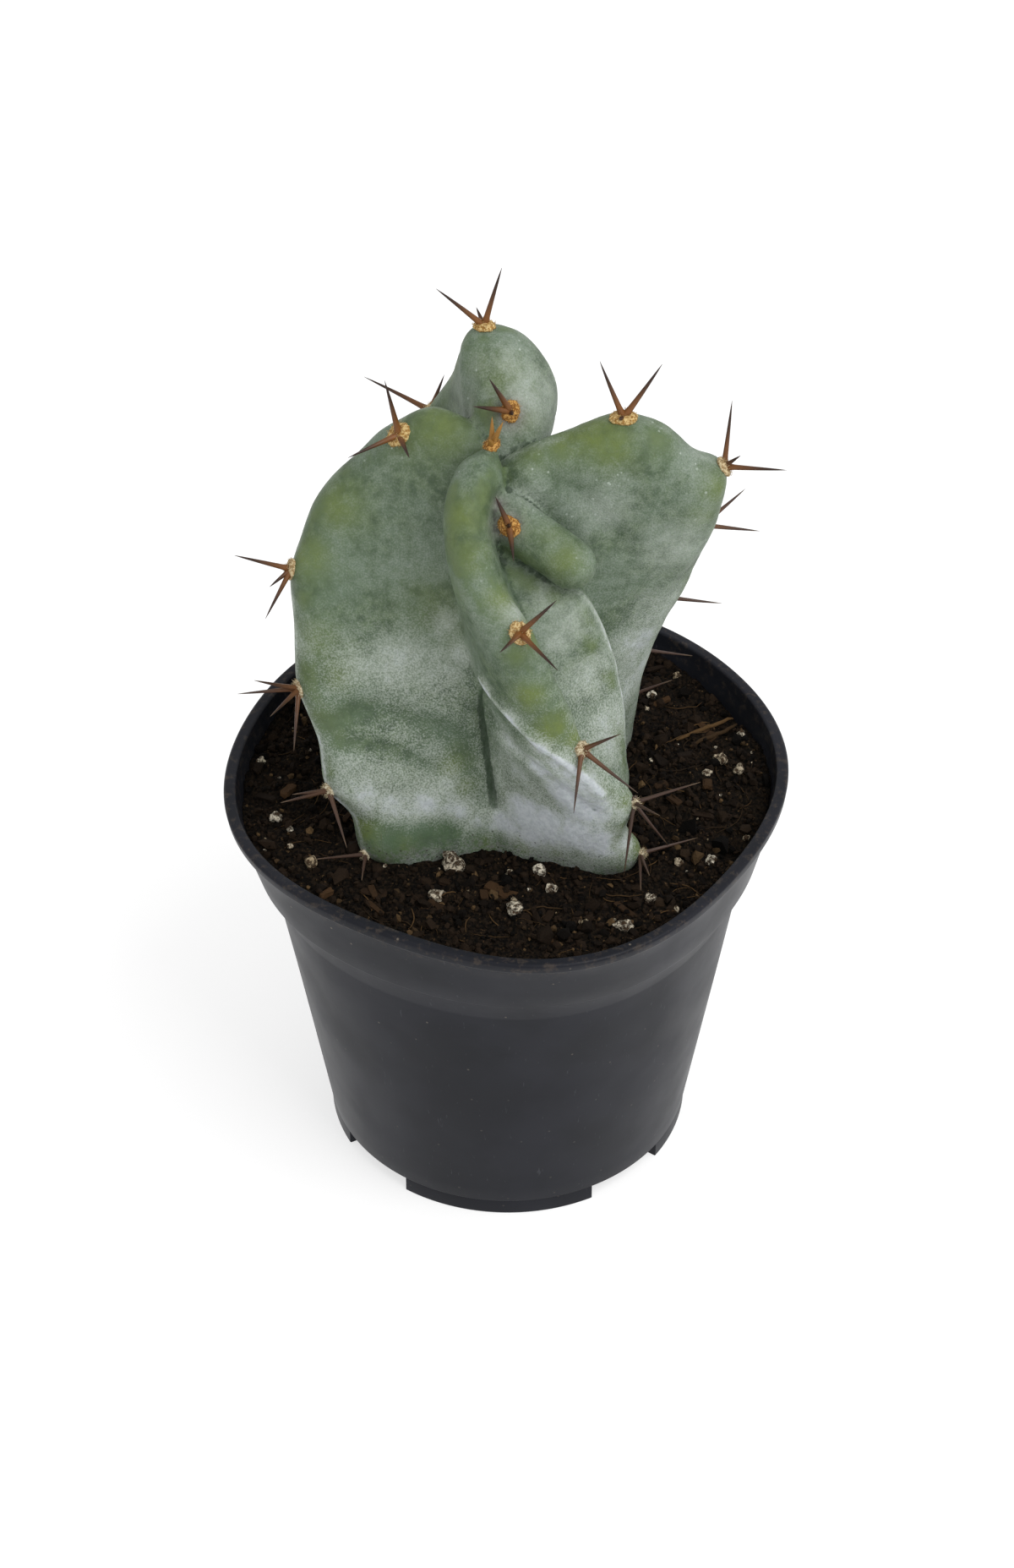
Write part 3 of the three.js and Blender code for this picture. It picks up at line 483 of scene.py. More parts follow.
class Heap:
    """Many small bodies gathered into one piece, with named values at their points."""

    def __init__(self):
        self.points, self.faces, self.values, self.count = [], [], {}, 0

    def add(self, points, faces, **values):
        """Adds a body. A value is one number for all of its points or one for each."""
        self.points.append(points)
        self.faces += [tuple(self.count + i for i in face) for face in faces]
        for name, value in values.items():
            self.values.setdefault(name, []).append(np.broadcast_to(value, len(points)))
        self.count += len(points)

    def piece(self, name, smooth=True):
        piece = make_piece(name, np.vstack(self.points), self.faces, smooth)
        for mark, parts in self.values.items():
            add_attribute(piece, mark, np.concatenate(parts))
        return piece


def finished_mesh(piece):
    """A new mesh of a piece as its modifiers leave it."""
    graph = bpy.context.evaluated_depsgraph_get()
    return bpy.data.meshes.new_from_object(piece.evaluated_get(graph))


def joined(name, parts):
    """The union of closed pieces as one piece. The parts are removed."""
    for part in parts[1:]:
        union = parts[0].modifiers.new("union", "BOOLEAN")
        union.operation = "UNION"
        union.object = part
        union.solver = "MANIFOLD"
    mesh = finished_mesh(parts[0])
    mesh.name = name
    for part in parts:
        bpy.data.objects.remove(part)
    return add_object(name, mesh)


def points_of(piece):
    flat = np.empty(3 * len(piece.data.vertices), dtype=np.float32)
    piece.data.vertices.foreach_get("co", flat)
    return flat.reshape(-1, 3).astype(float) / MM


def normals_of(piece):
    return np.array([vertex.normal[:] for vertex in piece.data.vertices])


def point_tree(points):
    tree = KDTree(len(points))
    for i, point in enumerate(points):
        tree.insert(point, i)
    tree.balance()
    return tree


def nearest_distance(points, targets):
    tree = point_tree(targets)
    return np.array([tree.find(point)[2] for point in points])


def inside(tree, x, y, z, margin=0):
    """Whether a point lies in the closed piece of a search tree, or within a margin of it."""
    point = Vector((x * MM, y * MM, z * MM))
    place, normal, _, _ = tree.find_nearest(point)
    return (point - place).dot(normal) < margin * MM


class Curve:
    """A smooth curve through points, read by its share of length."""

    def __init__(self, points):
        p = np.array(points, float)
        p = np.vstack([2 * p[0] - p[1], p, 2 * p[-1] - p[-2]])
        parts = [self.segment(p[i:i + 4]) for i in range(len(p) - 3)]
        self.samples = np.vstack(parts + [p[-2:-1]])
        steps = np.linalg.norm(np.diff(self.samples, axis=0), axis=1)
        self.lengths = np.concatenate([[0], np.cumsum(steps)])
        self.length = self.lengths[-1]
        self.marks = self.lengths[::CURVE_STEPS] / self.length

    @staticmethod
    def segment(p):
        """Samples between the second and the third of four points."""
        d0, d1, d2 = np.linalg.norm(np.diff(p, axis=0), axis=1) ** 0.5
        t1 = ((p[1] - p[0]) / d0 - (p[2] - p[0]) / (d0 + d1) + (p[2] - p[1]) / d1) * d1
        t2 = ((p[2] - p[1]) / d1 - (p[3] - p[1]) / (d1 + d2) + (p[3] - p[2]) / d2) * d1
        t = np.linspace(0, 1, CURVE_STEPS, endpoint=False)[:, None]
        square = 3 * (p[2] - p[1]) - 2 * t1 - t2
        cube = 2 * (p[1] - p[2]) + t1 + t2
        return p[1] + t1 * t + square * t ** 2 + cube * t ** 3

    def at(self, share):
        place = np.asarray(share) * self.length
        return np.stack([np.interp(place, self.lengths, self.samples[:, k]) for k in range(3)], -1)

    def tangent(self, share):
        return unit(self.at(np.minimum(share + 1e-3, 1)) - self.at(np.maximum(share - 1e-3, 0)))


CRESTS = {name: Curve(rib["crest"]) for name, rib in RIBS.items()}
VALLEY_CURVES = [Curve([APEX] + points) for points in VALLEYS]
AXIS = Curve([APEX, (0, 0, 120), (0, 0, 90), (0, 0, STEM_BOTTOM)])


# Stem

def rib_frame(name, share):
    """Crest, foot, way from foot to crest, half the foot's width, side and axis, along a rib."""
    rib, curve = RIBS[name], CRESTS[name]
    number = RIB_ORDER.index(name)
    begin = rib.get("from", 0)
    down = begin + (1 - begin) * share
    before = VALLEY_CURVES[number - 1].at(down)
    after = VALLEY_CURVES[number].at(down)
    across = after - before
    if "pivot" in rib:
        at, until = rib["pivot"]
        turned = (1 - smoothstep(share, 0, until))[:, None]
        before = before + (np.array(at) - before) * turned
        after = after + (np.array(at) - after) * turned
    crest = curve.at(share)
    foot = (before + after) / 2
    ahead = curve.at(np.minimum(share + SIDE_SPAN, 1)) - curve.at(np.maximum(share - SIDE_SPAN, 0))
    side = unit(np.cross(ahead, crest - foot))
    side *= np.where((side * across).sum(1) < 0, -1, 1)[:, None]
    return crest, foot, crest - foot, (after - before) / 2, side, AXIS.at(down)


def flank(reach, foot_width, thickness):
    """One flank from foot to crest: height, foot share and blade share, even along the skin."""
    blunt = max(LEAST_BLUNTNESS, 2 * CREST_ROUNDNESS * reach / (thickness + 0.1))
    flare = np.clip(FOOT_FLARE * reach / (foot_width + 0.1), *FLARE_RANGE)
    h = np.sin(np.linspace(0, math.pi / 2, FLANK_SAMPLES))
    foot = (1 - h) ** flare
    blade = (1 - foot) * np.sqrt(np.maximum(0, 1 - h ** blunt))
    steps = np.hypot(np.diff(h) * reach, np.diff(foot) * foot_width + np.diff(blade) * thickness)
    lengths = np.concatenate([[0], np.cumsum(steps)])
    even = np.linspace(0, lengths[-1], FLANK_STEPS + 1)
    return np.stack([np.interp(even, lengths, values) for values in (h, foot, blade)], -1)


def rib_piece(name):
    """A rib as a closed body of rings, each with a corner inside the stem."""
    share = FIRST_SHARE + (1 - FIRST_SHARE) * np.linspace(0, 1, STEM_RINGS) ** RING_CROWDING
    crest, foot, reach, half_foot, side, core = rib_frame(name, share)
    opening = np.sqrt(np.minimum(1, share * CRESTS[name].length / TIP_ROUNDING + TIP_OPENING))
    rings = []
    for k in range(STEM_RINGS):
        halves = []
        for sign, values in ((-1, RIBS[name]["before"]), (1, RIBS[name]["after"])):
            thickness = np.interp(share[k], np.linspace(0, 1, len(values)), values) * opening[k]
            skin = flank(np.linalg.norm(reach[k]), np.linalg.norm(half_foot[k]), thickness)
            h, foot_share, blade = skin[:, 0:1], skin[:, 1:2], skin[:, 2:3]
            halves.append(
                foot[k] + reach[k] * h + half_foot[k] * sign * foot_share + side[k] * sign * blade * thickness
            )
        corner = core[k] - CORE_OVERLAP * (foot[k] - core[k])
        rings.append(np.vstack([halves[0], halves[1][:-1][::-1], corner])[::-1])
    return make_piece("rib_" + name, *closed_body(rings, rings[0].mean(0), rings[-1].mean(0)))


def ball_rings(centre, radius, way, rim, lowest, highest, count):
    """Rings of a ball between two latitudes in degrees."""
    angles = np.radians(np.linspace(lowest, highest, count))
    return [centre + radius * (way * math.sin(angle) + math.cos(angle) * rim) for angle in angles]


def capsule_piece(name, start, end, radius):
    """A round-ended rod through two centres."""
    start, end = np.array(start, float), np.array(end, float)
    way = unit(end - start)
    across = unit(np.cross(way, (0, 0, 1)))
    rim = wheel(48, across, np.cross(across, way))
    rings = ball_rings(start, radius, way, rim, -84, 0, 18) + ball_rings(end, radius, way, rim, 0, 84, 18)
    return make_piece(name, *closed_body(rings, start - way * radius, end + way * radius))


def heart_piece():
    """The ball at the growing point, from which all ribs rise."""
    middle = np.array(APEX) - (0, 0, HEART_RADIUS / 2)
    aside, ahead, up = np.eye(3)
    rings = ball_rings(middle, HEART_RADIUS, up, wheel(24, aside, ahead), -80, 80, 13)
    return make_piece("heart", *closed_body(rings, middle - HEART_RADIUS * up, middle + HEART_RADIUS * up))


def renew_skin(piece):
    """Makes a piece's skin anew as one closed net of even cells, with nothing left inside it."""
    net = piece.modifiers.new("net", "REMESH")
    net.mode = "VOXEL"
    net.voxel_size = SKIN_CELL * MM
    net.use_smooth_shade = True
    mesh = finished_mesh(piece)
    piece.modifiers.clear()
    piece.data = mesh


def build_stem():
    """The ribs, the growing point, the pod and its neck, grown together."""
    ribs = [rib_piece(name) for name in RIB_ORDER]
    pod = capsule_piece("pod", POD_START, POD_END, POD_RADIUS)
    neck = capsule_piece("neck", POD_START, POD_NECK, POD_NECK_RADIUS)
    stem = joined("stem", [heart_piece(), *ribs, pod, neck])
    renew_skin(stem)
    return stem


# Stem details

def areole_frames():
    """Place, way to the tip, way across and way out of each areole, with its age and spines."""
    frames = []
    for name, place, young, spines, *moved in AREOLES:
        if name == "pod":
            start, end = np.array(POD_START), np.array(POD_END)
            up = unit(start - end)
            front = unit(np.array((0, -1, 0)) + up * up[1])
            out = math.cos(POD_AREOLE_TURN) * front + math.sin(POD_AREOLE_TURN) * np.cross(up, front)
            origin = start - up * POD_AREOLE_ALONG + out * POD_RADIUS
        else:
            share = np.array([CRESTS[name].marks[place]])
            crest, _, reach, _, _, _ = rib_frame(name, share)
            up = -CRESTS[name].tangent(share)[0]
            origin, out = crest[0], unit(reach[0])
            if moved:
                origin = origin + moved[0]
                out = out + unit(np.array(moved[0]))
            out = unit(out - up * (out @ up))
        frames.append((origin, up, np.cross(up, out), out, young, spines))
    return frames


def spine_body(origin, way, length, radius, bend):
    """A tapered, slightly bowed spine that swells at its root."""
    side = unit(np.cross(way, (0.3, 0.5, 0.8)))
    shares = np.linspace(0, 1, SPINE_RINGS)
    along = (length + SPINE_ROOT) * shares - SPINE_ROOT
    middle = origin + way * along[:, None] + bend * (shares ** 2)[:, None]
    thick = radius * (1 - shares) ** 0.75 + SPINE_TIP
    thick *= 1 + SPINE_SWELL * np.exp(-(along / SWELL_LENGTH) ** 2)
    return rod(middle, thick, wheel(SPINE_SIDES, side, np.cross(way, side)))


def build_spines(frames):
    rng = np.random.default_rng(5)
    heap = Heap()
    shares = np.repeat(np.linspace(0, 1, SPINE_RINGS), SPINE_SIDES)
    along = np.concatenate([[0], shares, [1]])
    for origin, up, across, out, young, spines in frames:
        radius = SPINE_RADIUS + STRONG_SPINE * young ** 0.7
        for turn, lift, length in spines:
            turn, lift = math.radians(turn), math.radians(lift)
            flat = math.cos(turn) * up + math.sin(turn) * across
            way = unit(math.cos(lift) * flat + math.sin(lift) * out)
            bend = np.cross(way, unit(rng.normal(size=3))) * length * SPINE_BOW
            heap.add(*spine_body(origin, way, length, radius, bend), along=along, young=young)
    return heap.piece("spines")


def wool_cushion(origin, wide, up, across, out):
    """A low felt cushion, a little longer along its rib than across it."""
    rim = wheel(WOOL_SIDES, up * WOOL_LONG, across)
    rings = [
        origin + wide * math.cos(angle) * rim + WOOL_HEIGHT * math.sin(angle) * out for angle in WOOL_ANGLES
    ]
    points, faces = closed_body(rings, origin - out * WOOL_HEIGHT, origin + out * WOOL_HEIGHT)
    height, size = WOOL_LUMPS
    points += unit(points - origin) * (height * bumps(points, size, 31))[:, None]
    return flipped(points, faces)


def wool_hair(rng, origin, wide, up, across, out):
    """A three-sided hair that rises from the cushion and curls over."""
    turn, tilt = rng.uniform(0, 2 * math.pi), math.radians(rng.uniform(5, 90))
    flat = math.cos(turn) * up * WOOL_LONG + math.sin(turn) * across
    root = origin + HAIR_DEPTH * (wide * math.cos(tilt) * flat + WOOL_HEIGHT * math.sin(tilt) * out)
    way = unit(unit(root - origin) + HAIR_STRAY * rng.normal(size=3) + HAIR_RISE * out)
    length = rng.uniform(*HAIR_LENGTHS)
    side = unit(np.cross(way, rng.normal(size=3)))
    other = np.cross(way, side)
    base = np.array([root + HAIR_RADIUS * (side * math.cos(a) + other * math.sin(a)) for a in HAIR_CORNERS])
    middle = base + length * (0.5 * way + HAIR_CURL[0] * side)
    tip = root + length * (way + HAIR_CURL[1] * side)
    faces = [(2, 1, 0)]
    for k in range(3):
        after = (k + 1) % 3
        faces += [(k, after, 3 + after, 3 + k), (3 + k, 3 + after, 6)]
    return np.vstack([base, middle, tip]), faces


def build_wool(frames):
    """Felt cushions under the spines, with a short fleece of fine hairs."""
    rng = np.random.default_rng(9)
    heap = Heap()
    up_hair = [0, 0, 0, 0.5, 0.5, 0.5, 1]
    for origin, up, across, out, young, _ in frames:
        wide = np.interp(young, *WOOL_SPREAD)
        heap.add(*wool_cushion(origin, wide, up, across, out), young=young, tip=0)
        for _ in range(WOOL_HAIRS):
            heap.add(*wool_hair(rng, origin, wide, up, across, out), young=young, tip=up_hair)
    return heap.piece("wool")


def patch_values(points, patches):
    """Strength of soft round patches at points on the skin."""
    total = np.zeros(len(points))
    for x, y, z, radius, strength in patches:
        near = np.linalg.norm(points - (x, y, z), axis=1) / radius
        total = np.maximum(total, strength * np.exp(-near ** 2))
    return total


def pressed_way(points, skin):
    """Points evenly along a smooth way through a few points, pressed smoothly onto the skin."""
    curve = Curve(points)
    way = curve.at(np.linspace(0, 1, max(2, int(curve.length / PRESS_STEP))))
    shift = np.array([skin.find(point)[0][:] for point in way]) - way
    ends = PRESS_SPAN // 2
    padded = np.pad(shift, ((ends, ends), (0, 0)), mode="edge")
    even = np.ones(PRESS_SPAN) / PRESS_SPAN
    return way + np.stack([np.convolve(padded[:, k], even, "valid") for k in range(3)], -1)


def fold_distance(points, skin, name):
    """Distance of points on the skin from the middle of a fold."""
    return nearest_distance(points, pressed_way(FOLDS[name][2], skin))


def fold_skin(stem):
    """Raises ridges and sinks furrows in the skin, and adds its slow unevenness."""
    points = points_of(stem)
    skin = point_tree(points)
    lift = SLOW_BUMPS[0] * bumps(points, SLOW_BUMPS[1], 61, 2)
    lift += FINE_BUMPS[0] * bumps(points, FINE_BUMPS[1], 67, 2)
    for name, (width, height, _) in FOLDS.items():
        lift += height * np.exp(-(fold_distance(points, skin, name) / width) ** 2)
    points += normals_of(stem) * lift[:, None]
    stem.data.vertices.foreach_set("co", (points * MM).astype(np.float32).ravel())
    stem.data.update()


def hollowness(piece):
    """How deep each vertex lies below its neighbours, as a share of the net's cell."""
    points = points_of(piece)
    ends = np.empty(2 * len(piece.data.edges), dtype=np.int32)
    piece.data.edges.foreach_get("vertices", ends)
    first, last = ends.reshape(-1, 2).T
    total, count = np.zeros_like(points), np.zeros(len(points))
    for here, there in ((first, last), (last, first)):
        np.add.at(total, here, points[there])
        np.add.at(count, here, 1)
    return ((total / count[:, None] - points) * normals_of(piece)).sum(axis=1) / SKIN_CELL


def mark_skin(stem):
    """Distances and patches that the skin's colours follow."""
    points = points_of(stem)
    skin = point_tree(points)
    shares = np.linspace(0, 1, 160)
    lines = {name: curve.at(shares) for name, curve in CRESTS.items()}
    edges = np.vstack([lines[name] for name in ("right", "left", "young")])
    troughs = [fold_distance(points, skin, name) / FOLDS[name][0] for name in ("long trough", "low trough")]
    marks = {
        "ridge": fold_distance(points, skin, "ridge"),
        "crease": fold_distance(points, skin, "crease"),
        "trough": np.exp(-np.min(troughs, axis=0) ** 2),
        "crest": nearest_distance(points, np.vstack(list(lines.values()))),
        "edge": nearest_distance(points, edges),
        "hollow": hollowness(stem),
        "green": patch_values(points, GREEN_PATCHES),
        "wax": patch_values(points, WAX_PATCHES),
        "bare_and_shaded": patch_values(points, BARE_AND_SHADED_PATCHES),
        "purple": patch_values(points, PURPLE_PATCHES),
    }
    for name, values in marks.items():
        add_attribute(stem, name, values)


# Pot

def out_of_round(azimuth, z):
    """How far the thin wall is pulled out of round, growing towards the rim."""
    total = 0
    for waves, height, peak in RIM_WAVES:
        total = total + height * np.cos(waves * (azimuth - math.radians(peak)))
    return total * (np.maximum(z, 0) / POT_HEIGHT) ** RIM_FADE


def rounded(outline, radius):
    """A closed outline with each corner cut by a short arc."""
    smooth = []
    corners = len(outline)
    for i in range(corners):
        here = np.array(outline[i], float)
        before, after = np.array(outline[i - 1]), np.array(outline[(i + 1) % corners])
        cut = min(radius, 0.4 * np.linalg.norm(before - here), 0.4 * np.linalg.norm(after - here))
        first = here + unit(before - here) * cut
        last = here + unit(after - here) * cut
        for t in np.linspace(0, 1, CORNER_STEPS):
            smooth.append((1 - t) ** 2 * first + 2 * t * (1 - t) * here + t * t * last)
    return np.array(smooth)


def spread(outline, step):
    """An outline with points added so that its edges are about a step long or less."""
    points = []
    for here, after in zip(outline, np.roll(outline, -1, axis=0)):
        pieces = max(1, int(np.linalg.norm(after - here) / step))
        points += [here + (after - here) * k / pieces for k in range(pieces)]
    return np.array(points)


def pot_outline():
    """The pot's section, from the axis along the underside and back along the inside."""
    wall_top = POT_HEIGHT - LIP_DEPTH
    lip_inside = LIP_RADIUS - LIP_WIDTH
    corners = [
        (AXIS_RADIUS, FLOOR_TOP + FLOOR_RISE - WALL), (RING_RADIUS - FLOOR_SPREAD, FLOOR_TOP - WALL),
        (RING_RADIUS - RING_WIDTH, RING_HEIGHT - BEVEL), (RING_RADIUS - RING_TIP, RING_HEIGHT - BEVEL),
        *WALL_LINE,
        (LIP_RADIUS - LIP_DRAFT, wall_top + BEVEL), (LIP_RADIUS, POT_HEIGHT - LIP_CHAMFER),
        (LIP_RADIUS - LIP_CHAMFER, POT_HEIGHT), (lip_inside + BEVEL, POT_HEIGHT),
        (lip_inside, POT_HEIGHT - BEVEL), (COLLAR_TOP_RADIUS - WALL, wall_top),
        *[(radius - WALL, height) for radius, height in WALL_LINE[-2:0:-1]],
        (RING_RADIUS - WALL + BEVEL, FLOOR_TOP), (AXIS_RADIUS, FLOOR_TOP + FLOOR_RISE),
    ]
    return spread(rounded(corners, CORNER_RADIUS), POT_STEP)


def pot_shell():
    radius, height = pot_outline().T
    turns = np.linspace(0, 2 * math.pi, POT_SEGMENTS, endpoint=False)[:, None]
    off_axis = np.where(radius > 1, 1, 0)
    points = around(radius + off_axis * out_of_round(turns, height), height, turns)
    rings, count = points.shape[:2]
    ring, i = np.meshgrid(np.arange(rings), np.arange(count), indexing="ij")
    here, there = ring * count, (ring + 1) % rings * count
    after = (i + 1) % count
    faces = np.stack([here + i, there + i, there + after, here + after], -1).reshape(-1, 4)
    return make_piece("pot_shell", points.reshape(-1, 3), faces.tolist())


def foot_block(start):
    """One arc of the broken ring that the pot stands on."""
    inside_radius, top = FOOT_RADIUS - FOOT_WIDTH, FLOOR_TOP - FOOT_SINK
    corners = [(FOOT_RADIUS, 0), (FOOT_RADIUS, top), (inside_radius, top), (inside_radius, 0)]
    radius, height = rounded(corners, BEVEL).T
    turns = start + np.linspace(0, FOOT_SPAN, FOOT_STEPS + 1)[:, None]
    rings = around(radius, height, turns)
    return make_piece("foot", *flipped(*closed_body(rings, rings[0].mean(0), rings[-1].mean(0))))


def build_pot():
    step = 2 * math.pi / FOOT_COUNT
    feet = [foot_block(FOOT_START - FOOT_SPAN / 2 + k * step) for k in range(FOOT_COUNT)]
    return joined("planter", [pot_shell(), *feet])


# Soil

def soil_height(x, y):
    """Height of the soil's top: a low mound with a hollow, lumps and clods."""
    mound = SOIL_MOUND * (1 - (np.hypot(x, y) / COLLAR_TOP_RADIUS) ** 2)
    away = ((x - SOIL_HOLLOW["x"]) ** 2 + (y - SOIL_HOLLOW["y"]) ** 2) / SOIL_HOLLOW["radius"] ** 2
    base = SOIL_LEVEL + mound - SOIL_HOLLOW["depth"] * np.exp(-away)
    flat = np.stack([x, y, np.zeros_like(x)], -1)
    coarse, fine, clods = bumps(flat, 9, 41, 2), bumps(flat, 2.6, 43), np.abs(bumps(flat, 5, 47))
    return base + LUMP_HEIGHT * coarse + LUMP_HEIGHT * fine + CLOD_HEIGHT * clods - CLOD_SINK


def ground_at(x, y):
    return float(soil_height(np.array([x]), np.array([y]))[0])


def soil_edge(azimuth, z):
    """Distance of the soil's side from the axis, close inside the pot's wall."""
    radii, heights = zip(*WALL_LINE)
    return np.interp(z, heights, radii) - WALL + out_of_round(azimuth, z) - SOIL_CLEARANCE


def near_wall(x, y, margin):
    return math.hypot(x, y) > soil_edge(math.atan2(y, x), SOIL_LEVEL) - margin


def build_soil():
    """The filled mix with its fine lumpy top."""
    turns = np.linspace(0, 2 * math.pi, SOIL_SEGMENTS, endpoint=False)
    edge = soil_edge(turns, SOIL_LEVEL)
    rings = []
    for share in np.linspace(0, 1, SOIL_RINGS + 1)[1:]:
        x, y, _ = around(share * edge, 0, turns).T
        z = soil_height(x, y)
        rings.append(np.stack([x, y, z], -1))
    rings[-1] = around(soil_edge(turns, z), z, turns)
    rings += [around(soil_edge(turns, height), height, turns) for height in SOIL_SIDE_HEIGHTS]
    body = closed_body(rings, (0, 0, ground_at(0.0, 0.0)), (0, 0, SOIL_BOTTOM))
    return make_piece("potting_mix", *flipped(*body))


def ball_points(level):
    """Points and faces of a small ball of triangles."""
    mesh = bmesh.new()
    bmesh.ops.create_icosphere(mesh, subdivisions=level, radius=1)
    points = np.array([v.co[:] for v in mesh.verts])
    faces = [tuple(v.index for v in f.verts) for f in mesh.faces]
    mesh.free()
    return points, faces


def turned_points(points, rng):
    """Points turned by a random turn."""
    axes, _ = np.linalg.qr(rng.normal(size=(3, 3)))
    return points @ axes.T


def scatter_places(rng, count, tree, margin):
    """Places on the soil, evenly random and clear of the wall and the stem."""
    places = []
    while len(places) < count:
        x, y = rng.uniform(-COLLAR_TOP_RADIUS, COLLAR_TOP_RADIUS, 2)
        if near_wall(x, y, margin):
            continue
        z = ground_at(x, y)
        if not inside(tree, x, y, z, STEM_MARGIN):
            places.append((x, y, z))
    return places


def build_grains(name, places, sizes, level, rough, squash, seed):
    """One piece of many small lumps, each with its own shape and shade."""
    rng = np.random.default_rng(seed)
    ball, faces = ball_points(level)
    heap = Heap()
    for k, ((x, y, z), size) in enumerate(zip(places, sizes)):
        shape = ball * (1 + rough * bumps(ball + 7 * k, 1.6, seed, 2))[:, None]
        shape = turned_points(shape * rng.uniform(squash, 1, 3), rng)
        shape = shape * size + (x, y, z + size * rng.uniform(0.05, 0.5))
        heap.add(shape, faces, shade=rng.uniform())
    return heap.piece(name, smooth=False)


def build_crumbs(rng, tree):
    """Loose crumbs, most of them small."""
    places = scatter_places(rng, CRUMB_COUNT, tree, CRUMB_MARGIN)
    sizes = rng.gamma(*CRUMB_SPREAD, CRUMB_COUNT) + LEAST_CRUMB
    return build_grains("crumbs", places, sizes, 1, 0.42, 0.5, 27)


def build_perlite(rng, tree):
    """The large white grains where they lie, and small ones anywhere."""
    places = [(x, y, ground_at(x, y)) for x, y, _ in GRAINS]
    sizes = [radius for _, _, radius in GRAINS]
    places += scatter_places(rng, PERLITE_COUNT, tree, CRUMB_MARGIN)
    sizes += list(LEAST_PERLITE + PERLITE_SPAN * rng.uniform(0, 1, PERLITE_COUNT) ** 3)
    return build_grains("perlite", places, sizes, 3, 0.3, 0.7, 29)


def build_chips(tree):
    """Flat splintered bits of bark on the soil."""
    rng = np.random.default_rng(15)
    ball, faces = ball_points(2)
    block = np.sign(ball) * np.abs(ball) ** CHIP_SQUARENESS
    chips = list(CHIPS)
    for x, y, _ in scatter_places(rng, CHIP_COUNT, tree, CHIP_MARGIN):
        size = [rng.uniform(*span) for span in CHIP_SIZES]
        chips.append((x, y, *size, rng.uniform(0, 180)))
    heap = Heap()
    for k, (x, y, length, width, height, turn) in enumerate(chips):
        shape = block * (length / 2, width / 2, height / 2)
        splinters = bumps(shape * (0.3, 1, 1) + 9 * k, 0.9, 51, 2)[:, None]
        shape += CHIP_ROUGHNESS * width * splinters * (0.6, 1, 0.6)
        tilt = rng.uniform(-CHIP_TILT, CHIP_TILT)
        shape = shape @ np.array([[1, 0, tilt], [0, 1, 0.5 * tilt], [-tilt, 0, 1]])
        ahead, aside = math.cos(math.radians(turn)), math.sin(math.radians(turn))
        shape = shape @ np.array([[ahead, aside, 0], [-aside, ahead, 0], [0, 0, 1]])
        heap.add(shape + (x, y, ground_at(x, y) + 0.35 * height), faces, shade=rng.uniform())
    return heap.piece("bark_chips", smooth=False)


def fibre_body(start, end, radius, bow):
    """A thin stalk that lies over the lumps of the soil, bowed sideways."""
    shares = np.linspace(0, 1, FIBRE_RINGS)
    way = unit(np.array([*(end - start), 0.0]))
    side = np.array([-way[1], way[0], 0])
    line = start[:, None] + (end - start)[:, None] * shares
    x, y = line + side[:2, None] * (bow * (4 * shares * (1 - shares)))
    ground = soil_height(x, y)
    middle = np.stack([x, y, 0.5 * ground + 0.5 * ground.max() + radius * 0.8], -1)
    thick = radius * (1 - 0.5 * np.abs(2 * shares - 1) ** 3)
    return rod(middle, thick, wheel(6, side, np.array((0, 0, 1))))


def build_fibres(tree):
    """Thin peat fibres and a few straws lying on the soil."""
    rng = np.random.default_rng(19)
    lines = [(*straw, STRAW_RADIUS, STRAW_BOW) for straw in STRAWS]
    for x, y, _ in scatter_places(rng, FIBRE_COUNT, tree, FIBRE_MARGIN):
        turn, length = rng.uniform(0, 2 * math.pi), rng.uniform(*FIBRE_LENGTHS)
        end = x + length * math.cos(turn), y + length * math.sin(turn)
        lines.append((x, y, *end, rng.uniform(*FIBRE_RADII), 1))
    heap = Heap()
    for x0, y0, x1, y1, radius, limp in lines:
        if near_wall(x1, y1, FIBRE_END_MARGIN) or inside(tree, x1, y1, SOIL_LEVEL):
            continue
        bow = rng.uniform(-FIBRE_BOW, FIBRE_BOW) * math.hypot(x1 - x0, y1 - y0) * limp
        body = fibre_body(np.array((x0, y0)), np.array((x1, y1)), radius, bow)
        heap.add(*body, shade=rng.uniform())
    return heap.piece("fibres")


# Materials

def srgb(red, green, blue):
    """A screen colour from 0 to 255 as a linear colour."""
    parts = np.array([red, green, blue]) / 255
    linear = np.where(parts <= 0.04045, parts / 12.92, ((parts + 0.055) / 1.055) ** 2.4)
    return (*linear.tolist(), 1)


DEEP_GREEN = srgb(66, 82, 62)
MID_GREEN = srgb(88, 104, 78)
COOL_GREEN = srgb(84, 102, 88)
LEAF_GREEN = srgb(108, 122, 58)
MOSS_GREEN = srgb(88, 102, 56)
WAX_GREY = srgb(161, 169, 159)
WAX_BLUE = srgb(188, 194, 196)
WAX_LILAC = srgb(170, 176, 180)
WAX_DOT = srgb(188, 198, 188)
# Painted shade: dark green along the crease and on the patches of thinner wax near the base.
CREASE_SHADE = srgb(70, 92, 66)
# Painted shade in the hollows where the ribs, the pod and its neck meet.
HOLLOW_SHADE = srgb(50, 64, 48)
PURPLE_TINGE = srgb(128, 104, 116)
SOILED_WAX = srgb(122, 120, 124)
SOIL_SPECK = srgb(46, 38, 32)
SCAR_BROWN = srgb(96, 92, 64)


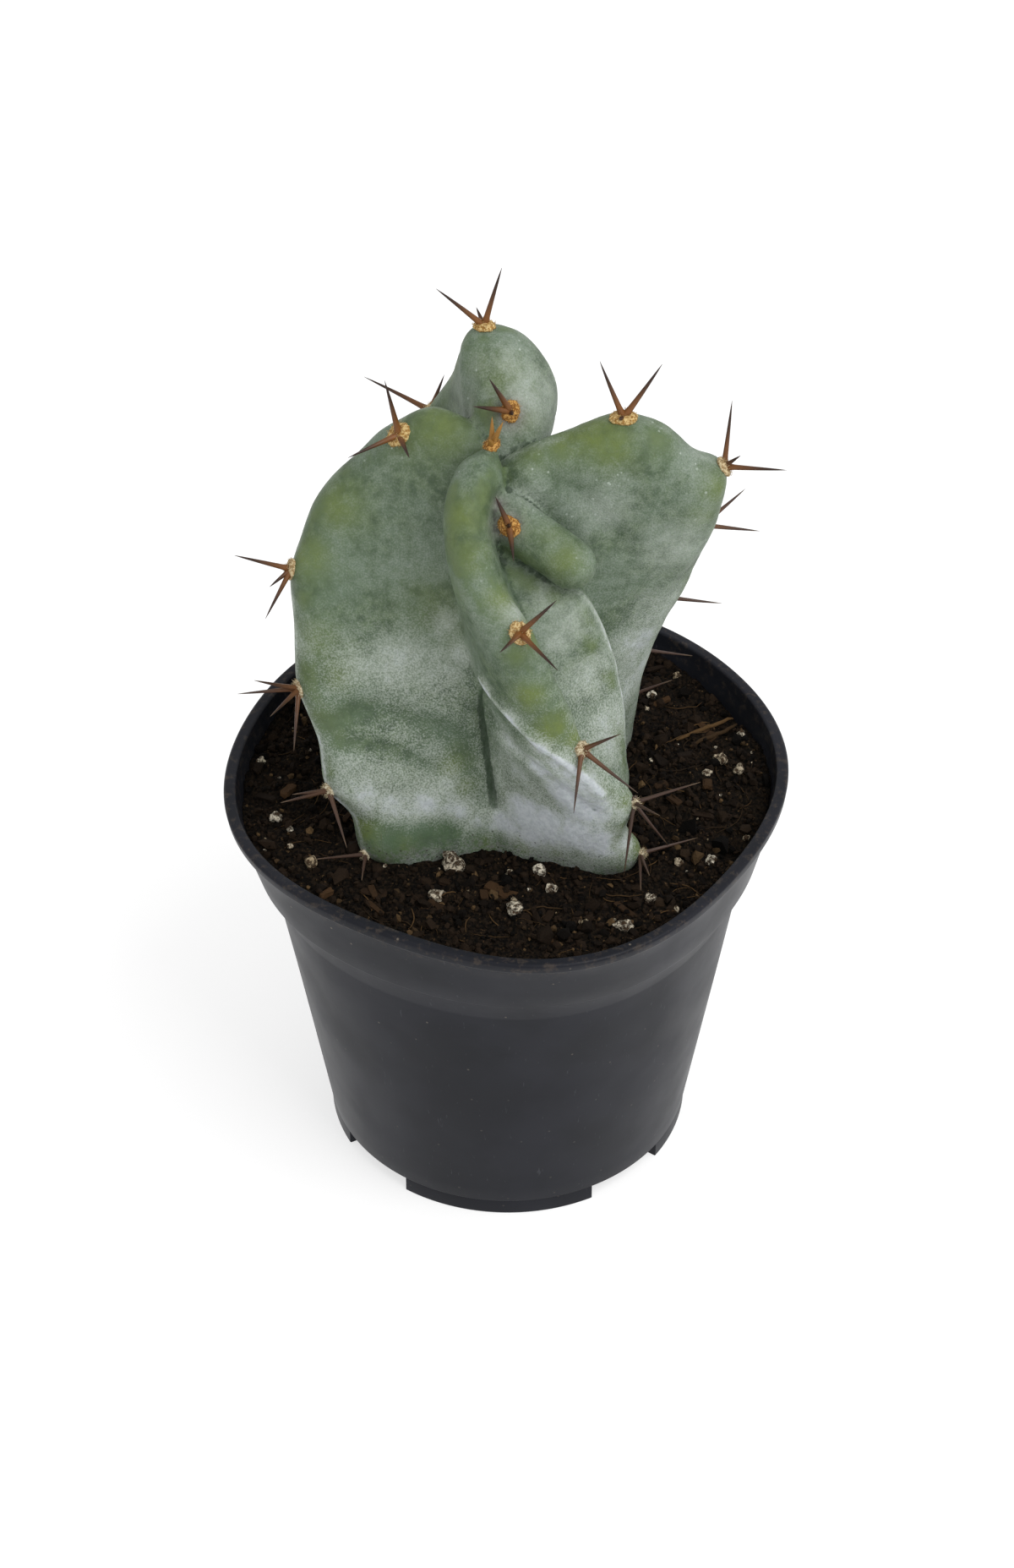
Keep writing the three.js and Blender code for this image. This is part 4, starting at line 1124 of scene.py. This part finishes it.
class Skin:
    """A material under construction. Sizes are in millimetres."""

    MIX_FIRST, MIX_SECOND, MIX_COLOR = 6, 7, 2

    def __init__(self, name, **fixed):
        self.material = bpy.data.materials.new(name)
        self.material.use_nodes = True
        self.tree = self.material.node_tree
        self.shader = self.tree.nodes["Principled BSDF"]
        self.place = self.scaled(self.node("TexCoord").outputs["Object"], (1 / MM,) * 3)
        self.set(**fixed)

    def node(self, kind, *values, **named):
        """A new node whose sockets are fed in their order or by their names."""
        node = self.tree.nodes.new("ShaderNode" + kind)
        for socket, value in [*enumerate(values), *named.items()]:
            self.feed(node.inputs[socket], value)
        return node

    def feed(self, socket, value):
        if isinstance(value, bpy.types.NodeSocket):
            self.tree.links.new(value, socket)
        else:
            socket.default_value = value

    def scaled(self, place, factors):
        """A place with each of its coordinates multiplied."""
        node = self.node("VectorMath", place, factors)
        node.operation = "MULTIPLY"
        return node.outputs[0]

    def math(self, operation, *values):
        """Two or more values brought together by one operation."""
        def step(first, second):
            node = self.node("Math", first, second)
            node.operation = operation
            return node.outputs[0]
        return reduce(step, values)

    def times(self, *values):
        return self.math("MULTIPLY", *values)

    def plus(self, *values):
        return self.math("ADD", *values)

    def ramp(self, value, low, high, start=0.0, end=1.0):
        """A smooth ramp from start to end while a value goes from low to high."""
        node = self.node("MapRange", value, low, high, start, end)
        node.interpolation_type = "SMOOTHSTEP"
        return node.outputs[0]

    def mix(self, share, first, second):
        node = self.node("Mix", share)
        node.data_type = "RGBA"
        self.feed(node.inputs[self.MIX_FIRST], first)
        self.feed(node.inputs[self.MIX_SECOND], second)
        return node.outputs[self.MIX_COLOR]

    def tinted(self, color, tints):
        """A colour under tints, each a tint, its strength and the shares that it is bound to. A tint stands
        for a stain, and on the cactus skin also for painted shade.
        """
        for tint, strength, *shares in tints:
            color = self.mix(self.times(*shares, strength), color, tint)
        return color

    def mark(self, name):
        """The value that the mesh holds under a name."""
        node = self.node("Attribute")
        node.attribute_name = name
        return node.outputs["Fac"]

    def noise(self, size, detail=3, rough=0.5, stretch=None):
        place = self.place if stretch is None else self.scaled(self.place, stretch)
        node = self.node("TexNoise", Vector=place, Scale=1 / size, Detail=detail, Roughness=rough)
        return node.outputs["Fac"]

    def cells(self, size):
        """Distance from the middles of loosely packed cells."""
        return self.node("TexVoronoi", Vector=self.place, Scale=1 / size).outputs["Distance"]

    def height(self):
        return self.node("SeparateXYZ", Vector=self.place).outputs["Z"]

    def bump(self, height, depth, strength):
        """Relief of the given depth."""
        node = self.node("Bump", Strength=strength, Distance=depth * MM, Height=height)
        self.set(Normal=node.outputs[0])

    def set(self, **values):
        for socket, value in values.items():
            self.feed(self.shader.inputs[socket.replace("_", " ")], value)

    def put_on(self, piece):
        piece.data.materials.clear()
        piece.data.materials.append(self.material)


def skin_greens(skin, cloud, mottle):
    """The green under the wax, how bright it is, and the bands beside the crests."""
    green = skin.mix(skin.ramp(mottle, 0.35, 0.65), DEEP_GREEN, MID_GREEN)
    green = skin.mix(skin.ramp(cloud, 0.35, 0.65), green, skin.mix(mottle, MID_GREEN, COOL_GREEN))
    crest = skin.mark("crest")
    inner, outer = skin.ramp(crest, 7.5, 3), skin.ramp(crest, 0.4, 2.4)
    band = skin.times(inner, outer, skin.ramp(skin.noise(7, 3), 0.42, 0.68))
    patches = skin.times(skin.mark("green"), skin.ramp(skin.noise(3, 3, 0.6), 0.2, 0.6, 0.55, 1.0))
    bright = skin.math("MAXIMUM", skin.times(band, 0.4), skin.times(patches, 0.9))
    green = skin.mix(bright, green, skin.mix(skin.noise(1.4, 4, 0.7), LEAF_GREEN, MOSS_GREEN))
    return green, bright, band


def wax_veil(skin, cloud, mottle, bright, band):
    """How thick the wax lies: more near the base, on the ridge and on the crest edges, where its pale line is
    partly a painted sheen; less on the green bands, in the troughs and on the patches of thinner wax, which
    are partly painted shade.
    """
    height = skin.height()
    # More wax along the crest edges; the pale line that it makes is partly a painted sheen.
    edge_wax_and_sheen = skin.times(
        skin.ramp(skin.mark("edge"), 1.3, 0.0),
        skin.ramp(height, 158, 115, 0.1, 0.6),
        skin.ramp(mottle, 0.3, 0.6, 0.3, 1.0),
    )
    laid = skin.plus(
        skin.ramp(height, 128, 84, 0.13, 0.36),
        skin.mark("wax"),
        skin.ramp(cloud, 0.3, 0.7, -0.1, 0.12),
        skin.ramp(mottle, 0.3, 0.7, -0.08, 0.08),
        skin.ramp(skin.mark("ridge"), 1.0, 0.0, 0.0, 0.5),
        edge_wax_and_sheen,
    )
    # Less wax on the green bands, in the troughs and on the patches of thinner wax; there the darker skin is
    # partly painted shade.
    wax_thinning = skin.plus(
        skin.times(skin.plus(bright, band), 0.25),
        skin.times(skin.mark("trough"), 0.35),
        skin.mark("bare_and_shaded"),
    )
    return skin.math("SUBTRACT", laid, wax_thinning)


def skin_stains_and_shade(skin, mottle, dust):
    """Painted shade along the crease, on the patches of thinner wax and in the hollows, then a purple tinge,
    soil near the base, wax dots and scars, in this order.
    """
    height = skin.height()
    # Painted shade along the crease and, through shaded, on the patches of thinner wax near the base.
    crease = skin.times(skin.ramp(skin.mark("crease"), 0.8, 0.1), 0.75)
    shaded = skin.times(skin.mark("bare_and_shaded"), skin.ramp(mottle, 0.35, 0.6, 0.2, 0.9))
    # Painted shade in the hollows between ribs, pod and neck, faded out towards the soil.
    hollow = skin.ramp(skin.mark("hollow"), 0.04, 0.15)
    speck = skin.ramp(skin.cells(1.5), 0.16, 0.08)
    dot = skin.ramp(skin.cells(1.6), 0.19, 0.1)
    scratch = skin.ramp(skin.noise(1.0, 3, 0.6, stretch=(3.2, 0.5, 0.35)), 0.69, 0.74)
    dotted, scarred = skin.ramp(skin.noise(9, 2), 0.5, 0.64), skin.ramp(skin.noise(6, 2), 0.5, 0.62)
    return [
        (CREASE_SHADE, 1.0, skin.math("MAXIMUM", crease, shaded)),
        (HOLLOW_SHADE, 0.8, hollow, skin.ramp(height, 84, 92)),
        (PURPLE_TINGE, 1.0, skin.mark("purple")),
        (SOILED_WAX, 0.5, skin.ramp(height, 84.5, 80), skin.ramp(dust, 0.42, 0.62)),
        (SOIL_SPECK, 0.8, skin.ramp(height, 90, 81), speck),
        (WAX_DOT, 0.45, dot, dotted, skin.ramp(height, 138, 148)),
        (SCAR_BROWN, 0.4, scratch, scarred),
    ]


def cactus_skin():
    """Grey-green skin under a granular wax that is smooth and lilac where it is thickest."""
    skin = Skin(
        "waxy_skin", Subsurface_Weight=0.05, Subsurface_Scale=0.003, Subsurface_Radius=(0.5, 1.0, 0.25),
        IOR=1.4, Specular_IOR_Level=0.3,
    )
    cloud, mottle = skin.noise(9, 4, 0.6), skin.noise(2.2, 4, 0.65)
    grain, dust = skin.noise(0.3, 1, 0.5), skin.noise(0.9, 4, 0.7)
    green, bright, band = skin_greens(skin, cloud, mottle)
    veil = wax_veil(skin, cloud, mottle, bright, band)
    speckle = skin.plus(skin.ramp(grain, 0.25, 0.75, -0.75, 0.75), skin.ramp(dust, 0.3, 0.7, -0.12, 0.12))
    rough = skin.ramp(skin.height(), 132, 108, 0.16, 0.44)
    cover = skin.ramp(skin.plus(veil, skin.times(speckle, rough)), -0.1, 1.1)
    thick = skin.ramp(skin.plus(veil, skin.times(mottle, 0.5)), 0.85, 1.45)
    smooth_wax = skin.mix(skin.ramp(dust, 0.35, 0.65), WAX_LILAC, WAX_BLUE)
    color = skin.mix(cover, green, skin.mix(thick, WAX_GREY, smooth_wax))
    color = skin.tinted(color, skin_stains_and_shade(skin, mottle, dust))
    skin.set(Base_Color=color, Roughness=skin.ramp(cover, 0, 1, 0.5, 0.72))
    skin.bump(skin.plus(skin.times(grain, 0.8), skin.times(mottle, 1.2)), 0.16, 0.6)
    return skin


def spine_horn():
    """Brown horn, golden at the root when young and pale at the tip when old."""
    skin = Skin("spine_horn", IOR=1.5, Specular_IOR_Level=0.3)
    along, young = skin.mark("along"), skin.mark("young")
    old = skin.mix(skin.ramp(along, 0.75, 1), srgb(70, 52, 43), srgb(98, 80, 60))
    fresh = skin.mix(skin.ramp(along, 0.1, 0.8), srgb(128, 82, 40), srgb(50, 34, 26))
    fresh = skin.mix(skin.ramp(young, 1.0, 1.2), fresh, srgb(150, 108, 46))
    color = skin.mix(skin.ramp(young, 0.0, 0.4), old, fresh)
    color = skin.tinted(color, [(srgb(40, 28, 24), 0.35, skin.noise(0.8, 3))])
    skin.set(Base_Color=color, Roughness=skin.ramp(skin.noise(1.1), 0.3, 0.7, 0.35, 0.55))
    skin.bump(skin.noise(0.25, 2), 0.03, 0.4)
    return skin


def wool_felt():
    """Curly felt, ochre when young and bleached to cream with age, with painted shade in the gaps between its
    tufts.
    """
    skin = Skin("wool_felt", Roughness=0.95, Specular_IOR_Level=0.1)
    young, tuft = skin.mark("young"), skin.ramp(skin.noise(0.42, 2, 0.6), 0.4, 0.6)
    # The darker first colour of each pair is the felt in painted shade, between the tufts.
    old = skin.mix(tuft, srgb(150, 134, 106), srgb(204, 195, 170))
    ripe = skin.mix(tuft, srgb(152, 114, 60), srgb(206, 180, 126))
    fresh = skin.mix(tuft, srgb(132, 88, 40), srgb(192, 148, 84))
    color = skin.mix(skin.ramp(young, 0.1, 0.5), old, ripe)
    color = skin.mix(skin.ramp(young, 0.6, 0.9), color, fresh)
    skin.set(Base_Color=skin.tinted(color, [(srgb(200, 176, 132), 0.4, skin.mark("tip"))]))
    skin.bump(skin.noise(0.3, 3), 0.25, 0.9)
    return skin


def pot_plastic():
    """Thin black plastic with fine scuffs, specks of dust and a soiled rim."""
    skin = Skin("pot_plastic", IOR=1.45, Specular_IOR_Level=0.12)
    height = skin.height()
    color = skin.mix(skin.ramp(skin.noise(16, 3), 0.35, 0.7), srgb(27, 28, 33), srgb(33, 34, 40))
    scuff = skin.ramp(skin.noise(0.9, 3, 0.6, stretch=(1.6, 1.6, 0.12)), 0.66, 0.74)
    speck = skin.ramp(skin.cells(4.2), 0.07, 0.035)
    soiled = skin.ramp(skin.noise(1.6, 5, 0.7), 0.5, 0.66)
    color = skin.tinted(color, [
        (srgb(120, 122, 128), 0.1, scuff),
        (srgb(120, 112, 100), 0.55, speck, skin.ramp(height, 20, 83, 0.3, 1.0)),
        (srgb(84, 74, 64), 0.35, soiled, skin.ramp(height, 77, 81)),
    ])
    skin.set(Base_Color=color, Roughness=skin.ramp(skin.noise(12, 3), 0.3, 0.7, 0.34, 0.42))
    skin.bump(skin.noise(1.1, 3), 0.02, 0.3)
    return skin


def soil_peat():
    """Dark peat with dry flecks."""
    skin = Skin("peat", Roughness=0.92, Specular_IOR_Level=0.08)
    color = skin.mix(skin.ramp(skin.noise(0.7, 4, 0.7), 0.4, 0.65), srgb(6, 5, 4), srgb(34, 26, 18))
    dry = skin.ramp(skin.noise(0.9, 3, 0.7), 0.62, 0.7, 0.0, 0.7)
    skin.set(Base_Color=skin.mix(dry, color, srgb(84, 65, 43)))
    skin.bump(skin.noise(0.5, 4, 0.7), 0.4, 0.9)
    return skin


def crumb_peat():
    """Black peat crumbs with a few dry, golden ones."""
    skin = Skin("crumb_peat", Roughness=0.9, Specular_IOR_Level=0.1)
    shade = skin.mark("shade")
    color = skin.mix(skin.ramp(shade, 0.0, 0.7), srgb(7, 5, 4), srgb(42, 31, 21))
    color = skin.mix(skin.ramp(shade, 0.93, 1.0), color, srgb(104, 82, 55))
    skin.set(Base_Color=skin.tinted(color, [(srgb(10, 8, 6), 0.7, skin.noise(0.3, 2))]))
    skin.bump(skin.noise(0.25, 3), 0.15, 0.9)
    return skin


def splinter(name, dark, light):
    """Loose bits whose colour differs from one to the next."""
    skin = Skin(name, Roughness=0.9, Specular_IOR_Level=0.12)
    color = skin.mix(skin.mark("shade"), dark, light)
    skin.set(Base_Color=skin.tinted(color, [(dark, 0.6, skin.noise(0.6, 3, 0.7))]))
    skin.bump(skin.noise(0.36, 3), 0.15, 0.8)
    return skin


def perlite_foam():
    """Dirty white popped glass, pitted, with painted shade in its holes."""
    skin = Skin("perlite_foam", Roughness=0.9, Specular_IOR_Level=0.15)
    pits = skin.ramp(skin.noise(0.8, 4, 0.7), 0.42, 0.56)
    color = skin.mix(skin.mark("shade"), srgb(150, 132, 104), srgb(206, 198, 180))
    # Painted shade in the holes.
    color = skin.mix(pits, srgb(58, 44, 31), color)
    dirt = skin.ramp(skin.noise(0.3, 2), 0.55, 0.7, 0.0, 0.5)
    skin.set(Base_Color=skin.mix(dirt, color, srgb(96, 76, 54)))
    skin.bump(pits, 0.4, 0.9)
    return skin


def pale_floor():
    skin = Skin("pale_floor", Roughness=0.9, Emission_Strength=0.62, Emission_Color=WHITE)
    skin.set(Base_Color=skin.mix(skin.noise(60, 2), (0.44, 0.44, 0.44, 1), (0.47, 0.47, 0.47, 1)))
    return skin


# The object

def place(piece, skin, slot, node=None):
    """Gives a piece its material and body, and hides the part of the model that it stands for, if any. The
    slot is not used.
    """
    skin.put_on(piece)
    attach(piece, BODY)
    if node:
        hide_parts(node)


def add_plant():
    frames = areole_frames()
    stem = build_stem()
    fold_skin(stem)
    stem.data.set_sharp_from_angle(angle=SHARP_SKIN)
    mark_skin(stem)
    place(stem, cactus_skin(), "cactus", "cactus")
    place(build_spines(frames), spine_horn(), "cactus")
    place(build_wool(frames), wool_felt(), "cactus")
    return stem


def add_soil(stem):
    tree = BVHTree.FromObject(stem, bpy.context.evaluated_depsgraph_get())
    rng = np.random.default_rng(23)
    place(build_soil(), soil_peat(), "soil", "soil")
    place(build_crumbs(rng, tree), crumb_peat(), "soil")
    place(build_perlite(rng, tree), perlite_foam(), "soil")
    place(build_chips(tree), splinter("bark", srgb(20, 14, 9), srgb(72, 51, 31)), "soil")
    place(build_fibres(tree), splinter("fibre", srgb(30, 22, 14), srgb(96, 72, 44)), "soil")


def add_pot():
    planter = build_pot()
    place(planter, pot_plastic(), "pot", "pot")
    planter.data.set_sharp_from_angle(angle=SHARP_POT)


# Stage and camera

def add_floor():
    corners = [(x * FLOOR_REACH, y * FLOOR_REACH, 0) for x, y in ((-1, -1), (1, -1), (1, 1), (-1, 1))]
    floor = make_piece("floor", corners, [(0, 1, 2, 3)], smooth=False)
    pale_floor().put_on(floor)


def add_camera():
    data = bpy.data.cameras.new("camera")
    data.lens = LENS
    data.sensor_width = SENSOR
    camera = add_object("camera", data)
    back = Vector((0, -math.cos(VIEW_ELEVATION), math.sin(VIEW_ELEVATION)))
    camera.location = (Vector(AIM) + back * VIEW_DISTANCE) * MM
    camera.rotation_euler = (math.pi / 2 - VIEW_ELEVATION, 0, 0)
    bpy.context.scene.camera = camera


def add_light():
    """A soft key light from the right front, and white light all round."""
    data = bpy.data.lights.new("key", "AREA")
    data.size = KEY_SIZE
    data.energy = KEY_POWER
    light = add_object("key", data)
    light.location = KEY_PLACE
    light.rotation_euler = (KEY_AIM - KEY_PLACE).to_track_quat("-Z", "Y").to_euler()
    world = bpy.data.worlds.new("studio")
    bpy.context.scene.world = world
    world.use_nodes = True
    background = world.node_tree.nodes["Background"]
    background.inputs["Color"].default_value = WHITE
    background.inputs["Strength"].default_value = WORLD_STRENGTH


stem = add_plant()
add_soil(stem)
add_pot()
add_floor()
add_camera()
add_light()
bpy.context.scene.view_settings.view_transform = "Standard"
